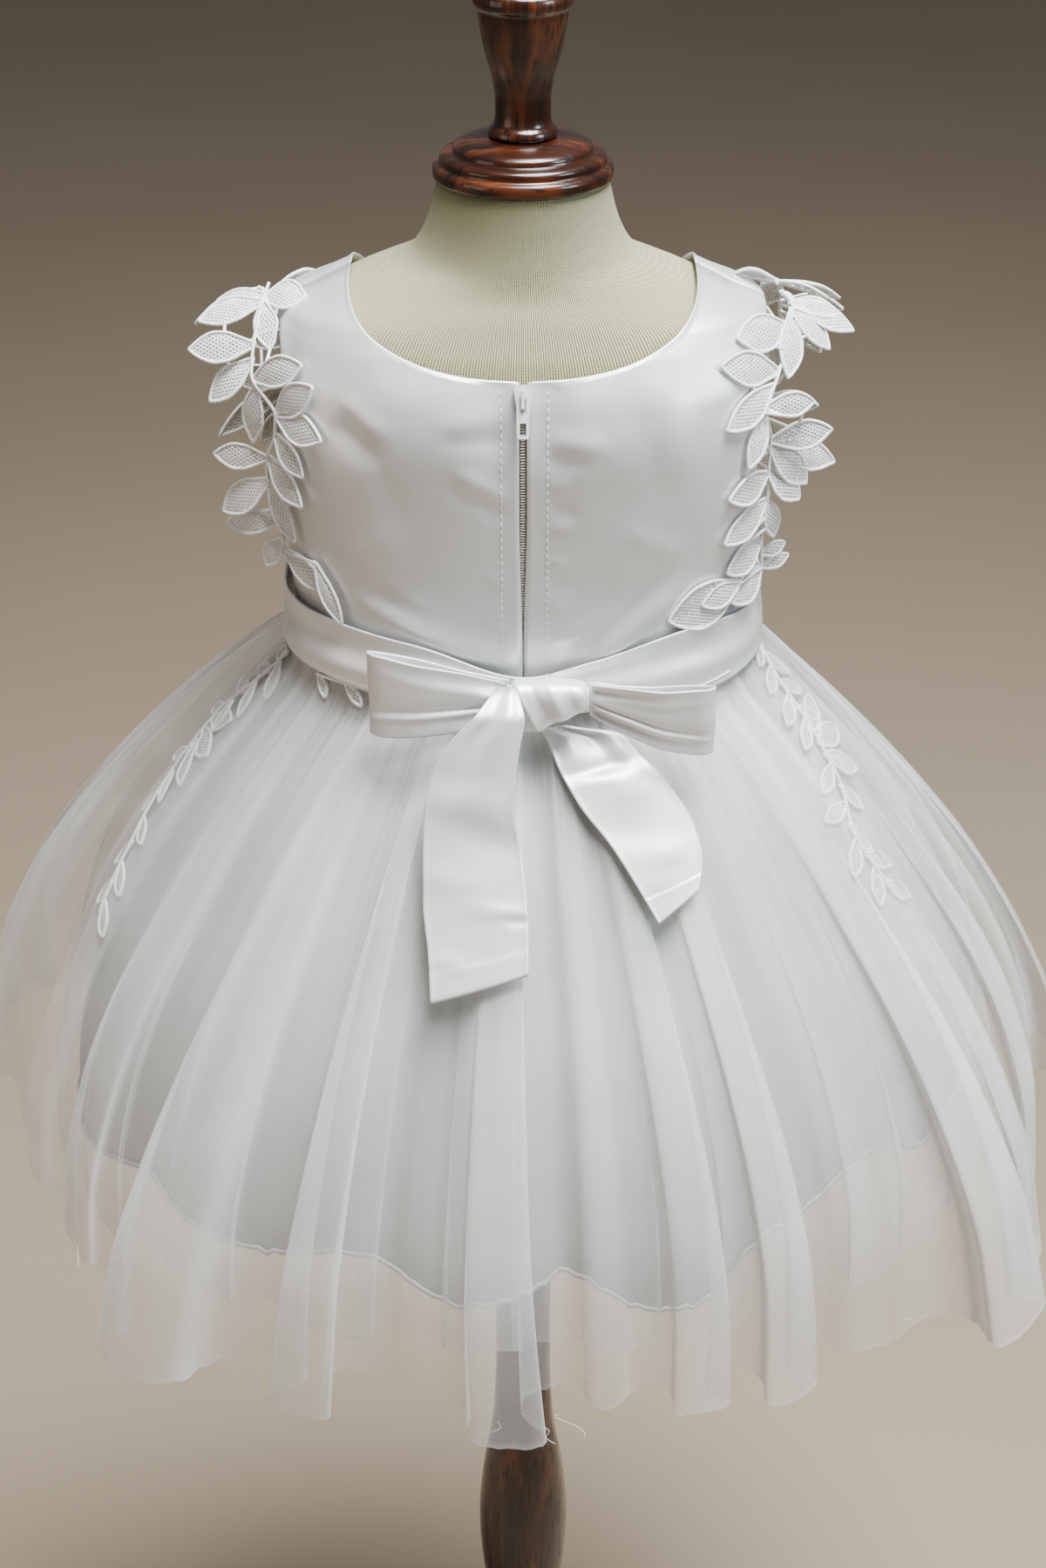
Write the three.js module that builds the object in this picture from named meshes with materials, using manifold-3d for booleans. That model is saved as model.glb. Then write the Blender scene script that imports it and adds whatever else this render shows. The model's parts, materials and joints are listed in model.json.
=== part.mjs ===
// A flower girl dress on a child's dress form. The dress has a sleeveless satin bodice with a
// centre back zip, a gathered skirt of two tulle layers over a satin lining, a ribbon sash tied
// in a bow at the back, and leaf lace along the armholes and down the sides of the skirt.
//
// Millimetres, +Z up. The origin is the middle of the base's underside, on the floor. The back
// of the dress faces -Y and the wearer's left is -X. A point on the body or the skirt is given
// by its turn about the stand's axis, in degrees from the middle of the back towards +X, and by
// its height z above the waist seam.
import * as THREE from 'three';
import { mergeGeometries, mergeVertices } from 'three/addons/utils/BufferGeometryUtils.js';
import Module from 'manifold-3d';

const wasm = await Module();
wasm.setup();

// ---------------------------------------------------------------- driving dimensions
const WAIST = 810; // height of the waist seam above the floor
const SATIN = 1.2; // thickness of the bodice, lining and ribbon walls
const TULLE = 1; // thickness of a tulle layer's wall
const LACE = 1.3; // thickness of the corded leaf lace
const SEAM = 0.3; // gap between pieces that are sewn together
const LACE_SEAT = 1.2; // gap between the armhole lace and the curved panel that it lies on
const VINE_SEAT = 0.9; // gap between the skirt's lace and the inner tulle

const BODICE_FOOT = -6; // lower edge of the bodice, from the waist
const UNDERARM = 30; // height of the armhole's lowest point
const SHOULDER_TIP = 128; // height of the armhole's highest point
const NECK = { halfWidth: 65, back: 116, front: 106, side: 141 };
const ARMHOLE_BITE = 23; // degrees that the armhole cuts into the back and the front

// The body of the dress, which the bodice's inner face follows, and the form inside it.
const bodyRows = [
  { z: -30, side: 91, back: 67, front: 66, power: 2.4 },
  { z: 0, side: 91, back: 67, front: 66, power: 2.4 },
  { z: 30, side: 92.5, back: 68, front: 67, power: 2.5 },
  { z: 80, side: 95, back: 67, front: 69, power: 2.8 },
  { z: 105, side: 95, back: 62.5, front: 67, power: 2.8 },
  { z: 120, side: 94, back: 56.5, front: 61, power: 2.6 },
  { z: 128, side: 91.5, back: 52, front: 55, power: 2.4 },
  { z: 134, side: 79, back: 48, front: 50, power: 2.3 },
  { z: 141, side: 65, back: 42, front: 44, power: 2.1 },
  { z: 149, side: 41, back: 37.5, front: 38.5, power: 2 },
];
const formRows = [
  { z: -95, side: 84, back: 66, front: 66, power: 2.3 },
  { z: -88, side: 88, back: 70, front: 70, power: 2.3 },
  { z: -50, side: 88, back: 69, front: 68, power: 2.3 },
  { z: 0, side: 84, back: 63, front: 62, power: 2.3 },
  { z: 30, side: 85, back: 64, front: 64, power: 2.4 },
  { z: 80, side: 86, back: 63.5, front: 66, power: 2.6 },
  { z: 105, side: 87, back: 59.5, front: 64, power: 2.6 },
  { z: 120, side: 88, back: 54.5, front: 58.5, power: 2.5 },
  { z: 127, side: 88.5, back: 50, front: 53, power: 2.4 },
  { z: 133, side: 76.5, back: 46, front: 48, power: 2.3 },
  { z: 140, side: 62.5, back: 40, front: 42, power: 2.1 },
  { z: 148, side: 43, back: 37, front: 38, power: 2 },
  { z: 160, side: 36, back: 34, front: 34, power: 2 },
  { z: 175, side: 32, back: 32, front: 32, power: 2 },
];

// The valleys between the outer tulle's folds, from the hem up to the waist seam.
const skirtRows = [
  { z: -280, side: 222, back: 191, front: 202, power: 2 },
  { z: -215, side: 219, back: 184, front: 193, power: 2 },
  { z: -176, side: 210, back: 172, front: 180, power: 2 },
  { z: -140, side: 195, back: 156, front: 163, power: 2 },
  { z: -100, side: 170, back: 133, front: 140, power: 2 },
  { z: -60, side: 139, back: 106, front: 112, power: 2.1 },
  { z: -30, side: 112, back: 82, front: 86, power: 2.2 },
  { z: -18, side: 99.6, back: 72, front: 73.2, power: 2.35 },
  { z: -12, side: 95.9, back: 71.5, front: 70.7, power: 2.4 },
  { z: -3, side: 95.4, back: 71.4, front: 70.4, power: 2.4 },
];

// The organ-pipe folds of the outer tulle: where each stands, how wide it is to either side,
// how far it stands out as a share of the deepest, and how far its tip hangs below the hem.
const outerFolds = [
  { turn: -85, spread: 6, reach: 0.4, dip: -3 },
  { turn: -74, spread: 6, reach: 0.5, dip: -8 },
  { turn: -60, spread: 7, reach: 0.8, dip: -6 },
  { turn: -39.5, spread: 10, reach: 1, dip: 7 },
  { turn: -24, spread: 4.5, reach: 1, dip: 12 },
  { turn: -13, spread: 4, reach: 0.35, dip: 4 },
  { turn: -4.5, spread: 7, reach: 1, dip: 15 },
  { turn: 10, spread: 5, reach: 0.5, dip: 5 },
  { turn: 19, spread: 5.5, reach: 0.9, dip: 9 },
  { turn: 29.5, spread: 5, reach: 1, dip: 12 },
  { turn: 41, spread: 6, reach: 0.4, dip: 5 },
  { turn: 54, spread: 7, reach: 1, dip: 12 },
  { turn: 64, spread: 4.5, reach: 0.7, dip: 5 },
  { turn: 76, spread: 6, reach: 0.9, dip: 3 },
  { turn: 87, spread: 5, reach: 0.6, dip: 4 },
  { turn: 100, spread: 8, reach: 0.9, dip: 6 },
  { turn: 112, spread: 4.5, reach: 0.7, dip: 4 },
  { turn: 121, spread: 5, reach: 0.5, dip: 3 },
  { turn: 131, spread: 8, reach: 1, dip: 9 },
  { turn: 145, spread: 5, reach: 0.8, dip: 5 },
  { turn: 156, spread: 9, reach: 0.9, dip: 8 },
  { turn: 171, spread: 5, reach: 1, dip: 7 },
  { turn: 181, spread: 4.5, reach: 0.5, dip: 9 },
  { turn: 193, spread: 8, reach: 0.9, dip: 7 },
  { turn: 205, spread: 4.5, reach: 0.9, dip: 5 },
  { turn: 214, spread: 5.5, reach: 0.6, dip: 7 },
  { turn: 228, spread: 9, reach: 1, dip: 4 },
  { turn: 242, spread: 5, reach: 0.8, dip: 6 },
  { turn: 252, spread: 5, reach: 1, dip: 5 },
  { turn: 263, spread: 6, reach: 0.6, dip: 4 },
];
// Its broad swells, which carry the folds out with them: how far each stands out at the hem and
// how late it grows on the way down, where 1 is evenly.
const swells = [
  { turn: -104, spread: 22, reach: 32, growth: 0.5 },
  { turn: -65, spread: 13, reach: -5, growth: 1 },
  { turn: -41, spread: 15, reach: 19, growth: 1 },
  { turn: 55, spread: 20, reach: 27, growth: 1 },
  { turn: 102, spread: 18, reach: 22, growth: 2 },
  { turn: 158, spread: 19, reach: 13, growth: 1.2 },
  { turn: 213, spread: 20, reach: 15, growth: 1 },
];
const innerFolds = [
  { turn: -80, spread: 9, reach: 0.8, dip: 2 },
  { turn: -63, spread: 9, reach: 1, dip: 4 },
  { turn: -44, spread: 11, reach: 0.9, dip: 3 },
  { turn: -24, spread: 10, reach: 0.8, dip: 5 },
  { turn: -6, spread: 9, reach: 1, dip: 2 },
  { turn: 12, spread: 10, reach: 0.9, dip: 4 },
  { turn: 31, spread: 9, reach: 0.8, dip: 3 },
  { turn: 49, spread: 10, reach: 1, dip: 5 },
  { turn: 69, spread: 11, reach: 0.9, dip: 2 },
  { turn: 92, spread: 12, reach: 0.8, dip: 4 },
  { turn: 114, spread: 10, reach: 1, dip: 3 },
  { turn: 135, spread: 11, reach: 0.8, dip: 5 },
  { turn: 157, spread: 10, reach: 0.9, dip: 2 },
  { turn: 178, spread: 12, reach: 1, dip: 4 },
  { turn: 202, spread: 11, reach: 0.8, dip: 3 },
  { turn: 223, spread: 10, reach: 0.9, dip: 5 },
  { turn: 243, spread: 9, reach: 1, dip: 3 },
  { turn: 262, spread: 10, reach: 0.9, dip: 4 },
];
const liningFolds = [
  { turn: -75, spread: 17, reach: 0.8, dip: 14 },
  { turn: -42, spread: 18, reach: 1, dip: 7 },
  { turn: -8, spread: 15, reach: 0.7, dip: 14 },
  { turn: 20, spread: 16, reach: 1, dip: 20 },
  { turn: 52, spread: 17, reach: 0.6, dip: -20 },
  { turn: 86, spread: 18, reach: 0.6, dip: -12 },
  { turn: 125, spread: 17, reach: 0.8, dip: 8 },
  { turn: 160, spread: 16, reach: 1, dip: 5 },
  { turn: 196, spread: 18, reach: 0.9, dip: 10 },
  { turn: 232, spread: 17, reach: 1, dip: 4 },
  { turn: 262, spread: 13, reach: 0.7, dip: 6 },
];

// The skirt's layers: heights of the top and the hem, how far the layer lies inside the valleys
// at its waist, at once below the sash and at its hem, and how deep its folds grow.
const layers = {
  outer: { top: -3.4, hem: -252, waist: 0, room: 0, inset: 0, depth: 17 },
  inner: { top: -4.6, hem: -240, waist: 1.5, room: 3.4, inset: 12.4, depth: 5 },
  lining: { top: BODICE_FOOT - SEAM, hem: -216, waist: 3.6, room: 3.6, inset: 24.4, depth: 8 },
};
Object.assign(layers.outer, { folds: outerFolds, swells, shoulders: [-0.5, 0, 0.5] });
Object.assign(layers.inner, { folds: innerFolds, swells: [], shoulders: [0] });
Object.assign(layers.lining, { folds: liningFolds, swells: [], shoulders: [-0.35, 0.35] });
const FLARE_TOP = -12; // folds and insets grow from here down
const ROOM_GROWS = 14; // how many times sooner than the folds the room between layers opens
const SKIRT_STEPS = [0, 0.034, 0.093, 0.22, 0.44, 0.71, 1]; // down from the waist

// The sash: height of its middle and half its width, by turn.
const sashRows = [
  { turn: -90, z: 5, half: 11.5 },
  { turn: -60, z: 5.5, half: 12.5 },
  { turn: -35, z: 2.5, half: 12 },
  { turn: 0, z: -5.6, half: 8.4 },
  { turn: 22, z: -2, half: 10.5 },
  { turn: 52, z: 3, half: 14.5 },
  { turn: 75, z: 2.5, half: 12 },
  { turn: 90, z: 4, half: 12 },
  { turn: 180, z: 5.5, half: 14 },
  { turn: 270, z: 5, half: 11.5 },
];
const SASH_OUT = { low: 5.7, high: 2, from: -2, to: 12 };
const KNOT_X = 10; // the knot sits this far to the right of the zip

// A bow loop's ribbon, from the knot's front out to the loop's end and back behind it.
const leftLoopRows = [
  { x: -5.4, y: -83, z: -3, half: 7.5 },
  { x: -20, y: -89, z: 0, half: 11.5 },
  { x: -40, y: -92, z: 2, half: 15 },
  { x: -54, y: -90, z: 3, half: 17 },
  { x: -58.5, y: -85.5, z: 3, half: 17 },
  { x: -54, y: -81.5, z: 2.5, half: 16.5 },
  { x: -40, y: -79.5, z: 1.5, half: 15 },
  { x: -20, y: -78.5, z: -1, half: 11 },
  { x: -5.4, y: -78, z: -3, half: 7.5 },
];
const rightLoopRows = [
  { x: 25.4, y: -83, z: -2, half: 6.5 },
  { x: 38, y: -88, z: -4, half: 9.5 },
  { x: 54, y: -91, z: -7, half: 12.5 },
  { x: 68, y: -90, z: -8, half: 14 },
  { x: 73, y: -86, z: -8.5, half: 14 },
  { x: 68, y: -82, z: -9, half: 13.5 },
  { x: 54, y: -80, z: -8, half: 12 },
  { x: 38, y: -79, z: -5, half: 9 },
  { x: 25.4, y: -78.5, z: -3, half: 6.5 },
];
const knotRows = [
  { x: -5, halfDepth: 4.2, halfHeight: 7.5 },
  { x: -1, halfDepth: 6.6, halfHeight: 9.8 },
  { x: 6, halfDepth: 7.6, halfHeight: 11 },
  { x: 15, halfDepth: 7.6, halfHeight: 11.2 },
  { x: 21, halfDepth: 6.6, halfHeight: 10.2 },
  { x: 25, halfDepth: 4, halfHeight: 7 },
];
const KNOT = { y: -82, z: -5, sides: 14 };

// The tails' two edges, which lie on the crests of the skirt's folds.
const leftTailRows = [
  { leftX: -25, leftZ: -17, rightX: -1, rightZ: -16.4 },
  { leftX: -33, leftZ: -26, rightX: -2, rightZ: -25 },
  { leftX: -37, leftZ: -38, rightX: -3, rightZ: -36 },
  { leftX: -38, leftZ: -54, rightX: -1, rightZ: -51 },
  { leftX: -38, leftZ: -70, rightX: 1, rightZ: -65 },
  { leftX: -36, leftZ: -86, rightX: 2, rightZ: -78 },
  { leftX: -35, leftZ: -101, rightX: 2, rightZ: -91 },
];
const rightTailRows = [
  { leftX: 6, leftZ: -17.2, rightX: 28, rightZ: -16.6 },
  { leftX: 14, leftZ: -30, rightX: 44, rightZ: -26 },
  { leftX: 22, leftZ: -41, rightX: 57, rightZ: -38 },
  { leftX: 33, leftZ: -52, rightX: 66, rightZ: -50 },
  { leftX: 43, leftZ: -65, rightX: 69, rightZ: -61 },
  { leftX: 52, leftZ: -78, rightX: 67, rightZ: -70 },
];
const TAIL_LIFT = 3; // a tail's outer face above the crests

// The armhole lace's stem, from the shoulder seam to the sash, on the back and the front alike.
const laceRows = [
  { at: 0, turn: 93, z: 129 },
  { at: 0.12, turn: 80, z: 124 },
  { at: 0.25, turn: 73.5, z: 112 },
  { at: 0.4, turn: 70.5, z: 97 },
  { at: 0.55, turn: 70, z: 80 },
  { at: 0.7, turn: 71, z: 61 },
  { at: 0.83, turn: 71, z: 45 },
  { at: 0.92, turn: 64, z: 34 },
  { at: 1, turn: 54, z: 26 },
];
// Its leaves: place along the stem, the side they grow to (1 out past the armhole, -1 over the
// bodice), their lean from the stem towards the sash, in degrees, and their length.
const laceLeaves = [
  { at: 0.04, side: 1, lean: 98, length: 24 },
  { at: 0.06, side: -1, lean: 70, length: 17 },
  { at: 0.15, side: 1, lean: 84, length: 25 },
  { at: 0.19, side: -1, lean: 45, length: 18 },
  { at: 0.26, side: 1, lean: 88, length: 24 },
  { at: 0.31, side: -1, lean: 100, length: 18 },
  { at: 0.36, side: 1, lean: 58, length: 22 },
  { at: 0.42, side: -1, lean: 62, length: 17 },
  { at: 0.53, side: 1, lean: 92, length: 22 },
  { at: 0.54, side: -1, lean: 40, length: 17 },
  { at: 0.61, side: 1, lean: 62, length: 21 },
  { at: 0.66, side: -1, lean: 55, length: 16 },
  { at: 0.71, side: 1, lean: 84, length: 21 },
  { at: 0.78, side: -1, lean: 42, length: 16 },
  { at: 0.8, side: 1, lean: 55, length: 16 },
];
const LEAF_WIDTH = 0.47; // a leaf's width as a share of its length
const LEAF_ROOT = 0.6; // how far a leaf starts back from the stem's middle, inside the stem
const STEM = { width: 2.4, proud: 0.3, steps: 12, crowding: 1.3 };

// The vines that hang down the inner tulle at the two sides, and their leaves.
const leftVineRows = [
  { at: 0, turn: -82, z: -25 },
  { at: 0.2, turn: -86, z: -40 },
  { at: 0.4, turn: -90, z: -56 },
  { at: 0.6, turn: -89, z: -78 },
  { at: 0.8, turn: -83, z: -104 },
  { at: 1, turn: -79, z: -130 },
];
const rightVineRows = [
  { at: 0, turn: 84, z: -26 },
  { at: 0.2, turn: 80, z: -36 },
  { at: 0.4, turn: 77, z: -46 },
  { at: 0.6, turn: 73, z: -64 },
  { at: 0.8, turn: 68, z: -82 },
  { at: 1, turn: 69, z: -102 },
];
const vineLeaves = [
  { at: 0.06, side: -1, lean: 55, length: 15 },
  { at: 0.12, side: 1, lean: 60, length: 15 },
  { at: 0.22, side: -1, lean: 50, length: 16 },
  { at: 0.3, side: 1, lean: 75, length: 17 },
  { at: 0.38, side: -1, lean: 45, length: 16 },
  { at: 0.46, side: 1, lean: 110, length: 19 },
  { at: 0.52, side: 1, lean: 70, length: 18 },
  { at: 0.6, side: -1, lean: 50, length: 16 },
  { at: 0.7, side: 1, lean: 48, length: 16 },
  { at: 0.78, side: -1, lean: 52, length: 15 },
  { at: 0.88, side: 1, lean: 45, length: 15 },
  { at: 0.93, side: -1, lean: 40, length: 14 },
];

// The zip: its tape and closed coil show through the slit between the back panels.
const ZIP = { top: 112, foot: 12, halfTape: 6, slitTop: 60, slitFoot: 10, halfSlit: 1.6 };
const TAPE_SEAT = 0.8; // gap between the panels and the tape behind them
const SLIDER = { z: 110, halfWidth: 3.3, halfLength: 5.5, low: 1.5, top: 3.9, keel: 1.15 };
const BRIDGE = { halfWidth: 0.65, foot: -3.2, head: 3.4, inner: 5.8, outer: 6.6, leg: 0.9 };
const PULL = { halfWidth: 2.4, length: 15, thick: 0.9, y: 1, n: 4.85, bar: 0.9, slot: 8 };

// The stand, as outlines of radius and height above the floor.
const BASE = { radius: 145, height: 22, edge: 8, foot: 2, rise: 6, inner: 60, collar: 34, dish: 5 };
const columnOutline = [
  { r: 24, z: 22.3 },
  { r: 24, z: 34 },
  { r: 17, z: 42 },
  { r: 14, z: 60 },
  { r: 16, z: 95 },
  { r: 21, z: 106 },
  { r: 21, z: 114 },
  { r: 15, z: 124 },
  { r: 14, z: 160 },
  { r: 17, z: 215 },
  { r: 21.5, z: 262 },
  { r: 22.5, z: 290 },
  { r: 20, z: 322 },
  { r: 15.5, z: 352 },
  { r: 13.5, z: 400 },
  { r: 13.5, z: 640 },
  { r: 18, z: 655 },
  { r: 18, z: 664 },
  { r: 14, z: 672 },
  { r: 14, z: 690 },
  { r: 34, z: 702 },
  { r: 34, z: WAIST - 95 - SEAM },
];
const capOutline = [
  { r: 33.4, z: 175.3 },
  { r: 33.8, z: 178 },
  { r: 33.2, z: 180.4 },
  { r: 31, z: 181.2 },
  { r: 31, z: 182.6 },
  { r: 29.4, z: 184.4 },
  { r: 26.4, z: 185 },
  { r: 25.4, z: 187.4 },
  { r: 20, z: 189.4 },
  { r: 13, z: 190.2 },
];
const postOutline = [
  { r: 12.6, z: 190.5 },
  { r: 12.6, z: 193 },
  { r: 10.6, z: 195 },
  { r: 10.4, z: 205 },
  { r: 11.4, z: 211 },
  { r: 13.4, z: 218 },
  { r: 15.2, z: 226 },
  { r: 16.6, z: 235 },
  { r: 18.2, z: 237.5 },
  { r: 18.2, z: 241.5 },
  { r: 16.4, z: 243.5 },
  { r: 14.5, z: 249 },
  { r: 9, z: 253.4 },
];

// ---------------------------------------------------------------- curves and surfaces
const radians = THREE.MathUtils.degToRad;
const { clamp, lerp, smoothstep } = THREE.MathUtils;

// One column of a table as a smooth curve that passes through its rows and never overshoots.
function curveThrough(rows, name, key = 'z') {
  const slopes = rows.slice(1).map((row, i) => (row[name] - rows[i][name]) / (row[key] - rows[i][key]));
  const tangents = rows.map((row, i) => {
    if (i === 0) return slopes[0];
    if (i === rows.length - 1) return slopes[i - 1];
    if (slopes[i - 1] * slopes[i] <= 0) return 0;
    return (2 * slopes[i - 1] * slopes[i]) / (slopes[i - 1] + slopes[i]);
  });
  return (at) => {
    let i = 0;
    while (i < rows.length - 2 && at > rows[i + 1][key]) i += 1;
    const step = rows[i + 1][key] - rows[i][key];
    const t = clamp((at - rows[i][key]) / step, 0, 1);
    const start = (1 + 2 * t) * (1 - t) ** 2 * rows[i][name] + t * (1 - t) ** 2 * step * tangents[i];
    const end = t * t * (3 - 2 * t) * rows[i + 1][name] + t * t * (t - 1) * step * tangents[i + 1];
    return start + end;
  };
}

// A smooth curve for each named column.
function curvesThrough(rows, names, key) {
  return Object.fromEntries(names.map((name) => [name, curveThrough(rows, name, key)]));
}

// The rounded-oval sections of a table, stacked: the distance from the axis at a turn and height.
function ovalSections(rows) {
  const curve = curvesThrough(rows, ['side', 'back', 'front', 'power']);
  return (turn, z, extra = 0) => {
    const across = Math.abs(Math.sin(radians(turn))) / (curve.side(z) + extra);
    const depth = Math.cos(radians(turn)) > 0 ? curve.back(z) : curve.front(z);
    const along = Math.abs(Math.cos(radians(turn))) / (depth + extra);
    return (across ** curve.power(z) + along ** curve.power(z)) ** (-1 / curve.power(z));
  };
}

const bodyRadius = ovalSections(bodyRows);
const formRadius = ovalSections(formRows);
const valleyRadius = ovalSections(skirtRows);

function aroundAxis(radius, turn, z) {
  const angle = radians(turn);
  return new THREE.Vector3(radius * Math.sin(angle), -radius * Math.cos(angle), WAIST + z);
}

const bodyAt = (turn, z) => aroundAxis(bodyRadius(turn, z), turn, z);

// The direction that a surface faces at u, v, with u running right and v running up.
function facing(surface, u, v) {
  const step = 0.02;
  const across = surface(u + step, v).sub(surface(u - step, v));
  const up = surface(u, v + step).sub(surface(u, v - step));
  return across.cross(up).normalize();
}

// The same surface moved out along its own facing.
function lifted(surface, out) {
  return (u, v) => surface(u, v).addScaledVector(facing(surface, u, v), out);
}

function spaced(count, from = 0, to = 1) {
  return Array.from({ length: count + 1 }, (_, i) => lerp(from, to, i / count));
}

// ---------------------------------------------------------------- solids
function geometryOf(points, triangles) {
  const geometry = new THREE.BufferGeometry();
  geometry.setAttribute('position', new THREE.Float32BufferAttribute(points.flatMap((p) => p.toArray()), 3));
  geometry.setIndex(triangles.flat());
  return geometry;
}

// The surface that lies under another by a wall's thickness, kept inside the grid's own range.
function underside(surface, us, vs, thickness) {
  const step = 1e-3;
  return (u, v) => {
    const across = surface(Math.min(u + step, us.at(-1)), v).sub(surface(Math.max(u - step, us[0]), v));
    const up = surface(u, Math.min(v + step, vs.at(-1))).sub(surface(u, Math.max(v - step, vs[0])));
    return surface(u, v).addScaledVector(across.cross(up).normalize(), -thickness);
  };
}

// A cloth wall over a grid of u and v. Its outer face follows the surface, its inner face lies
// under it by the wall's thickness or follows a surface of its own, and its four rims are closed.
function clothWall(surface, us, vs, thickness, under = underside(surface, us, vs, thickness)) {
  const outer = us.map((u) => vs.map((v) => surface(u, v)));
  const inner = us.map((u) => vs.map((v) => under(u, v)));
  const rows = vs.length;
  const at = (i, j, side) => (side * us.length + i) * rows + j;
  const triangles = [];
  const quad = (a, b, c, d) => triangles.push([a, b, c], [a, c, d]);
  for (let i = 0; i < us.length - 1; i += 1) {
    for (let j = 0; j < rows - 1; j += 1) {
      quad(at(i, j, 0), at(i + 1, j, 0), at(i + 1, j + 1, 0), at(i, j + 1, 0));
      quad(at(i, j, 1), at(i, j + 1, 1), at(i + 1, j + 1, 1), at(i + 1, j, 1));
    }
    quad(at(i, 0, 0), at(i, 0, 1), at(i + 1, 0, 1), at(i + 1, 0, 0));
    quad(at(i, rows - 1, 0), at(i + 1, rows - 1, 0), at(i + 1, rows - 1, 1), at(i, rows - 1, 1));
  }
  const last = us.length - 1;
  for (let j = 0; j < rows - 1; j += 1) {
    quad(at(0, j, 0), at(0, j + 1, 0), at(0, j + 1, 1), at(0, j, 1));
    quad(at(last, j, 0), at(last, j, 1), at(last, j + 1, 1), at(last, j + 1, 0));
  }
  return geometryOf([...outer.flat(), ...inner.flat()], triangles);
}

// Pieces that meet rim to rim made one, without the two rims that lie face to face.
function joined(geometries) {
  const merged = mergeVertices(mergeGeometries(geometries), 1e-3);
  const index = merged.index.array;
  const corners = (i) => [index[i], index[i + 1], index[i + 2]];
  const key = (triangle) => [...triangle].sort((a, b) => a - b).join();
  const seen = new Map();
  for (let i = 0; i < index.length; i += 3) {
    seen.set(key(corners(i)), (seen.get(key(corners(i))) ?? 0) + 1);
  }
  const kept = [];
  for (let i = 0; i < index.length; i += 3) {
    if (seen.get(key(corners(i))) === 1) kept.push(...corners(i));
  }
  return merged.setIndex(kept);
}

// A closed solid through rings of points, each ring counterclockwise as seen from the last one.
function loft(rings) {
  const count = rings[0].length;
  const points = rings.flat();
  const triangles = [];
  for (let j = 0; j < rings.length - 1; j += 1) {
    for (let i = 0; i < count; i += 1) {
      const a = j * count + i;
      const b = j * count + ((i + 1) % count);
      triangles.push([a, b, b + count], [a, b + count, a + count]);
    }
  }
  for (const [ring, flip] of [[0, true], [rings.length - 1, false]]) {
    const middle = rings[ring].reduce((sum, p) => sum.add(p), new THREE.Vector3());
    points.push(middle.divideScalar(count));
    for (let i = 0; i < count; i += 1) {
      const a = ring * count + i;
      const b = ring * count + ((i + 1) % count);
      triangles.push(flip ? [b, a, points.length - 1] : [a, b, points.length - 1]);
    }
  }
  return geometryOf(points, triangles);
}

// A turned solid from an outline of radius and height, closed to the axis at both ends.
function turned(outline, segments, lift = 0) {
  const profile = outline.map(({ r, z }) => new THREE.Vector2(r, z + lift));
  profile.unshift(new THREE.Vector2(0, outline[0].z + lift));
  profile.push(new THREE.Vector2(0, outline.at(-1).z + lift));
  return new THREE.LatheGeometry(profile, segments).rotateX(Math.PI / 2);
}

function boxBetween(low, high) {
  const size = high.map((value, i) => value - low[i]);
  return new THREE.BoxGeometry(...size).translate(...low.map((value, i) => value + size[i] / 2));
}

function asManifold(geometry) {
  const bare = geometry.clone();
  bare.deleteAttribute('normal');
  bare.deleteAttribute('uv');
  const merged = mergeVertices(bare, 1e-4);
  const vertProperties = new Float32Array(merged.attributes.position.array);
  const triVerts = new Uint32Array(merged.index.array);
  return new wasm.Manifold(new wasm.Mesh({ numProp: 3, vertProperties, triVerts }));
}

// Overlapping closed shapes fused into one.
function fused(geometries) {
  const whole = geometries.map(asManifold).reduce((sum, next) => sum.add(next));
  const { vertProperties, triVerts } = whole.getMesh();
  const geometry = new THREE.BufferGeometry();
  geometry.setAttribute('position', new THREE.BufferAttribute(vertProperties, 3));
  geometry.setIndex(new THREE.BufferAttribute(triVerts, 1));
  return geometry;
}

// ---------------------------------------------------------------- bodice
// The turn, from 0 to 90 degrees, at which a level of the body reaches a distance to the side.
function turnOfX(x, z) {
  let low = 0;
  let high = 90;
  for (let round = 0; round < 30; round += 1) {
    const middle = (low + high) / 2;
    if (bodyRadius(middle, z) * Math.sin(radians(middle)) < x) low = middle;
    else high = middle;
  }
  return low;
}

// Half the seam gap at a side or shoulder seam, as a turn.
const seamTurn = (radius) => THREE.MathUtils.radToDeg(SEAM / 2 / radius);

// The edge next to the middle: up the zip or the middle front, then along the neckline.
function innerEdge(v, neckZ, halfGap) {
  const corner = 0.62;
  if (v <= corner) {
    const z = lerp(BODICE_FOOT, neckZ, v / corner);
    return { turn: halfGap(z) > 0 ? turnOfX(halfGap(z), z) : 0, z };
  }
  const swing = radians(((v - corner) / (1 - corner)) * 90);
  const x = lerp(halfGap(neckZ), NECK.halfWidth, Math.sin(swing));
  const z = lerp(NECK.side, neckZ, Math.cos(swing));
  return { turn: v === 1 ? 90 : turnOfX(x, z), z };
}

// The outer edge: up the side seam, then round the armhole to the tip of the shoulder.
function outerEdge(v) {
  const corner = 0.22;
  if (v <= corner) return { turn: 90, z: lerp(BODICE_FOOT, UNDERARM, v / corner) };
  const swing = radians(lerp(-90, 90, (v - corner) / (1 - corner)));
  const middle = (SHOULDER_TIP + UNDERARM) / 2;
  const half = (SHOULDER_TIP - UNDERARM) / 2;
  return { turn: 90 - ARMHOLE_BITE * Math.abs(Math.cos(swing)) ** 0.8, z: middle + half * Math.sin(swing) };
}

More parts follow.
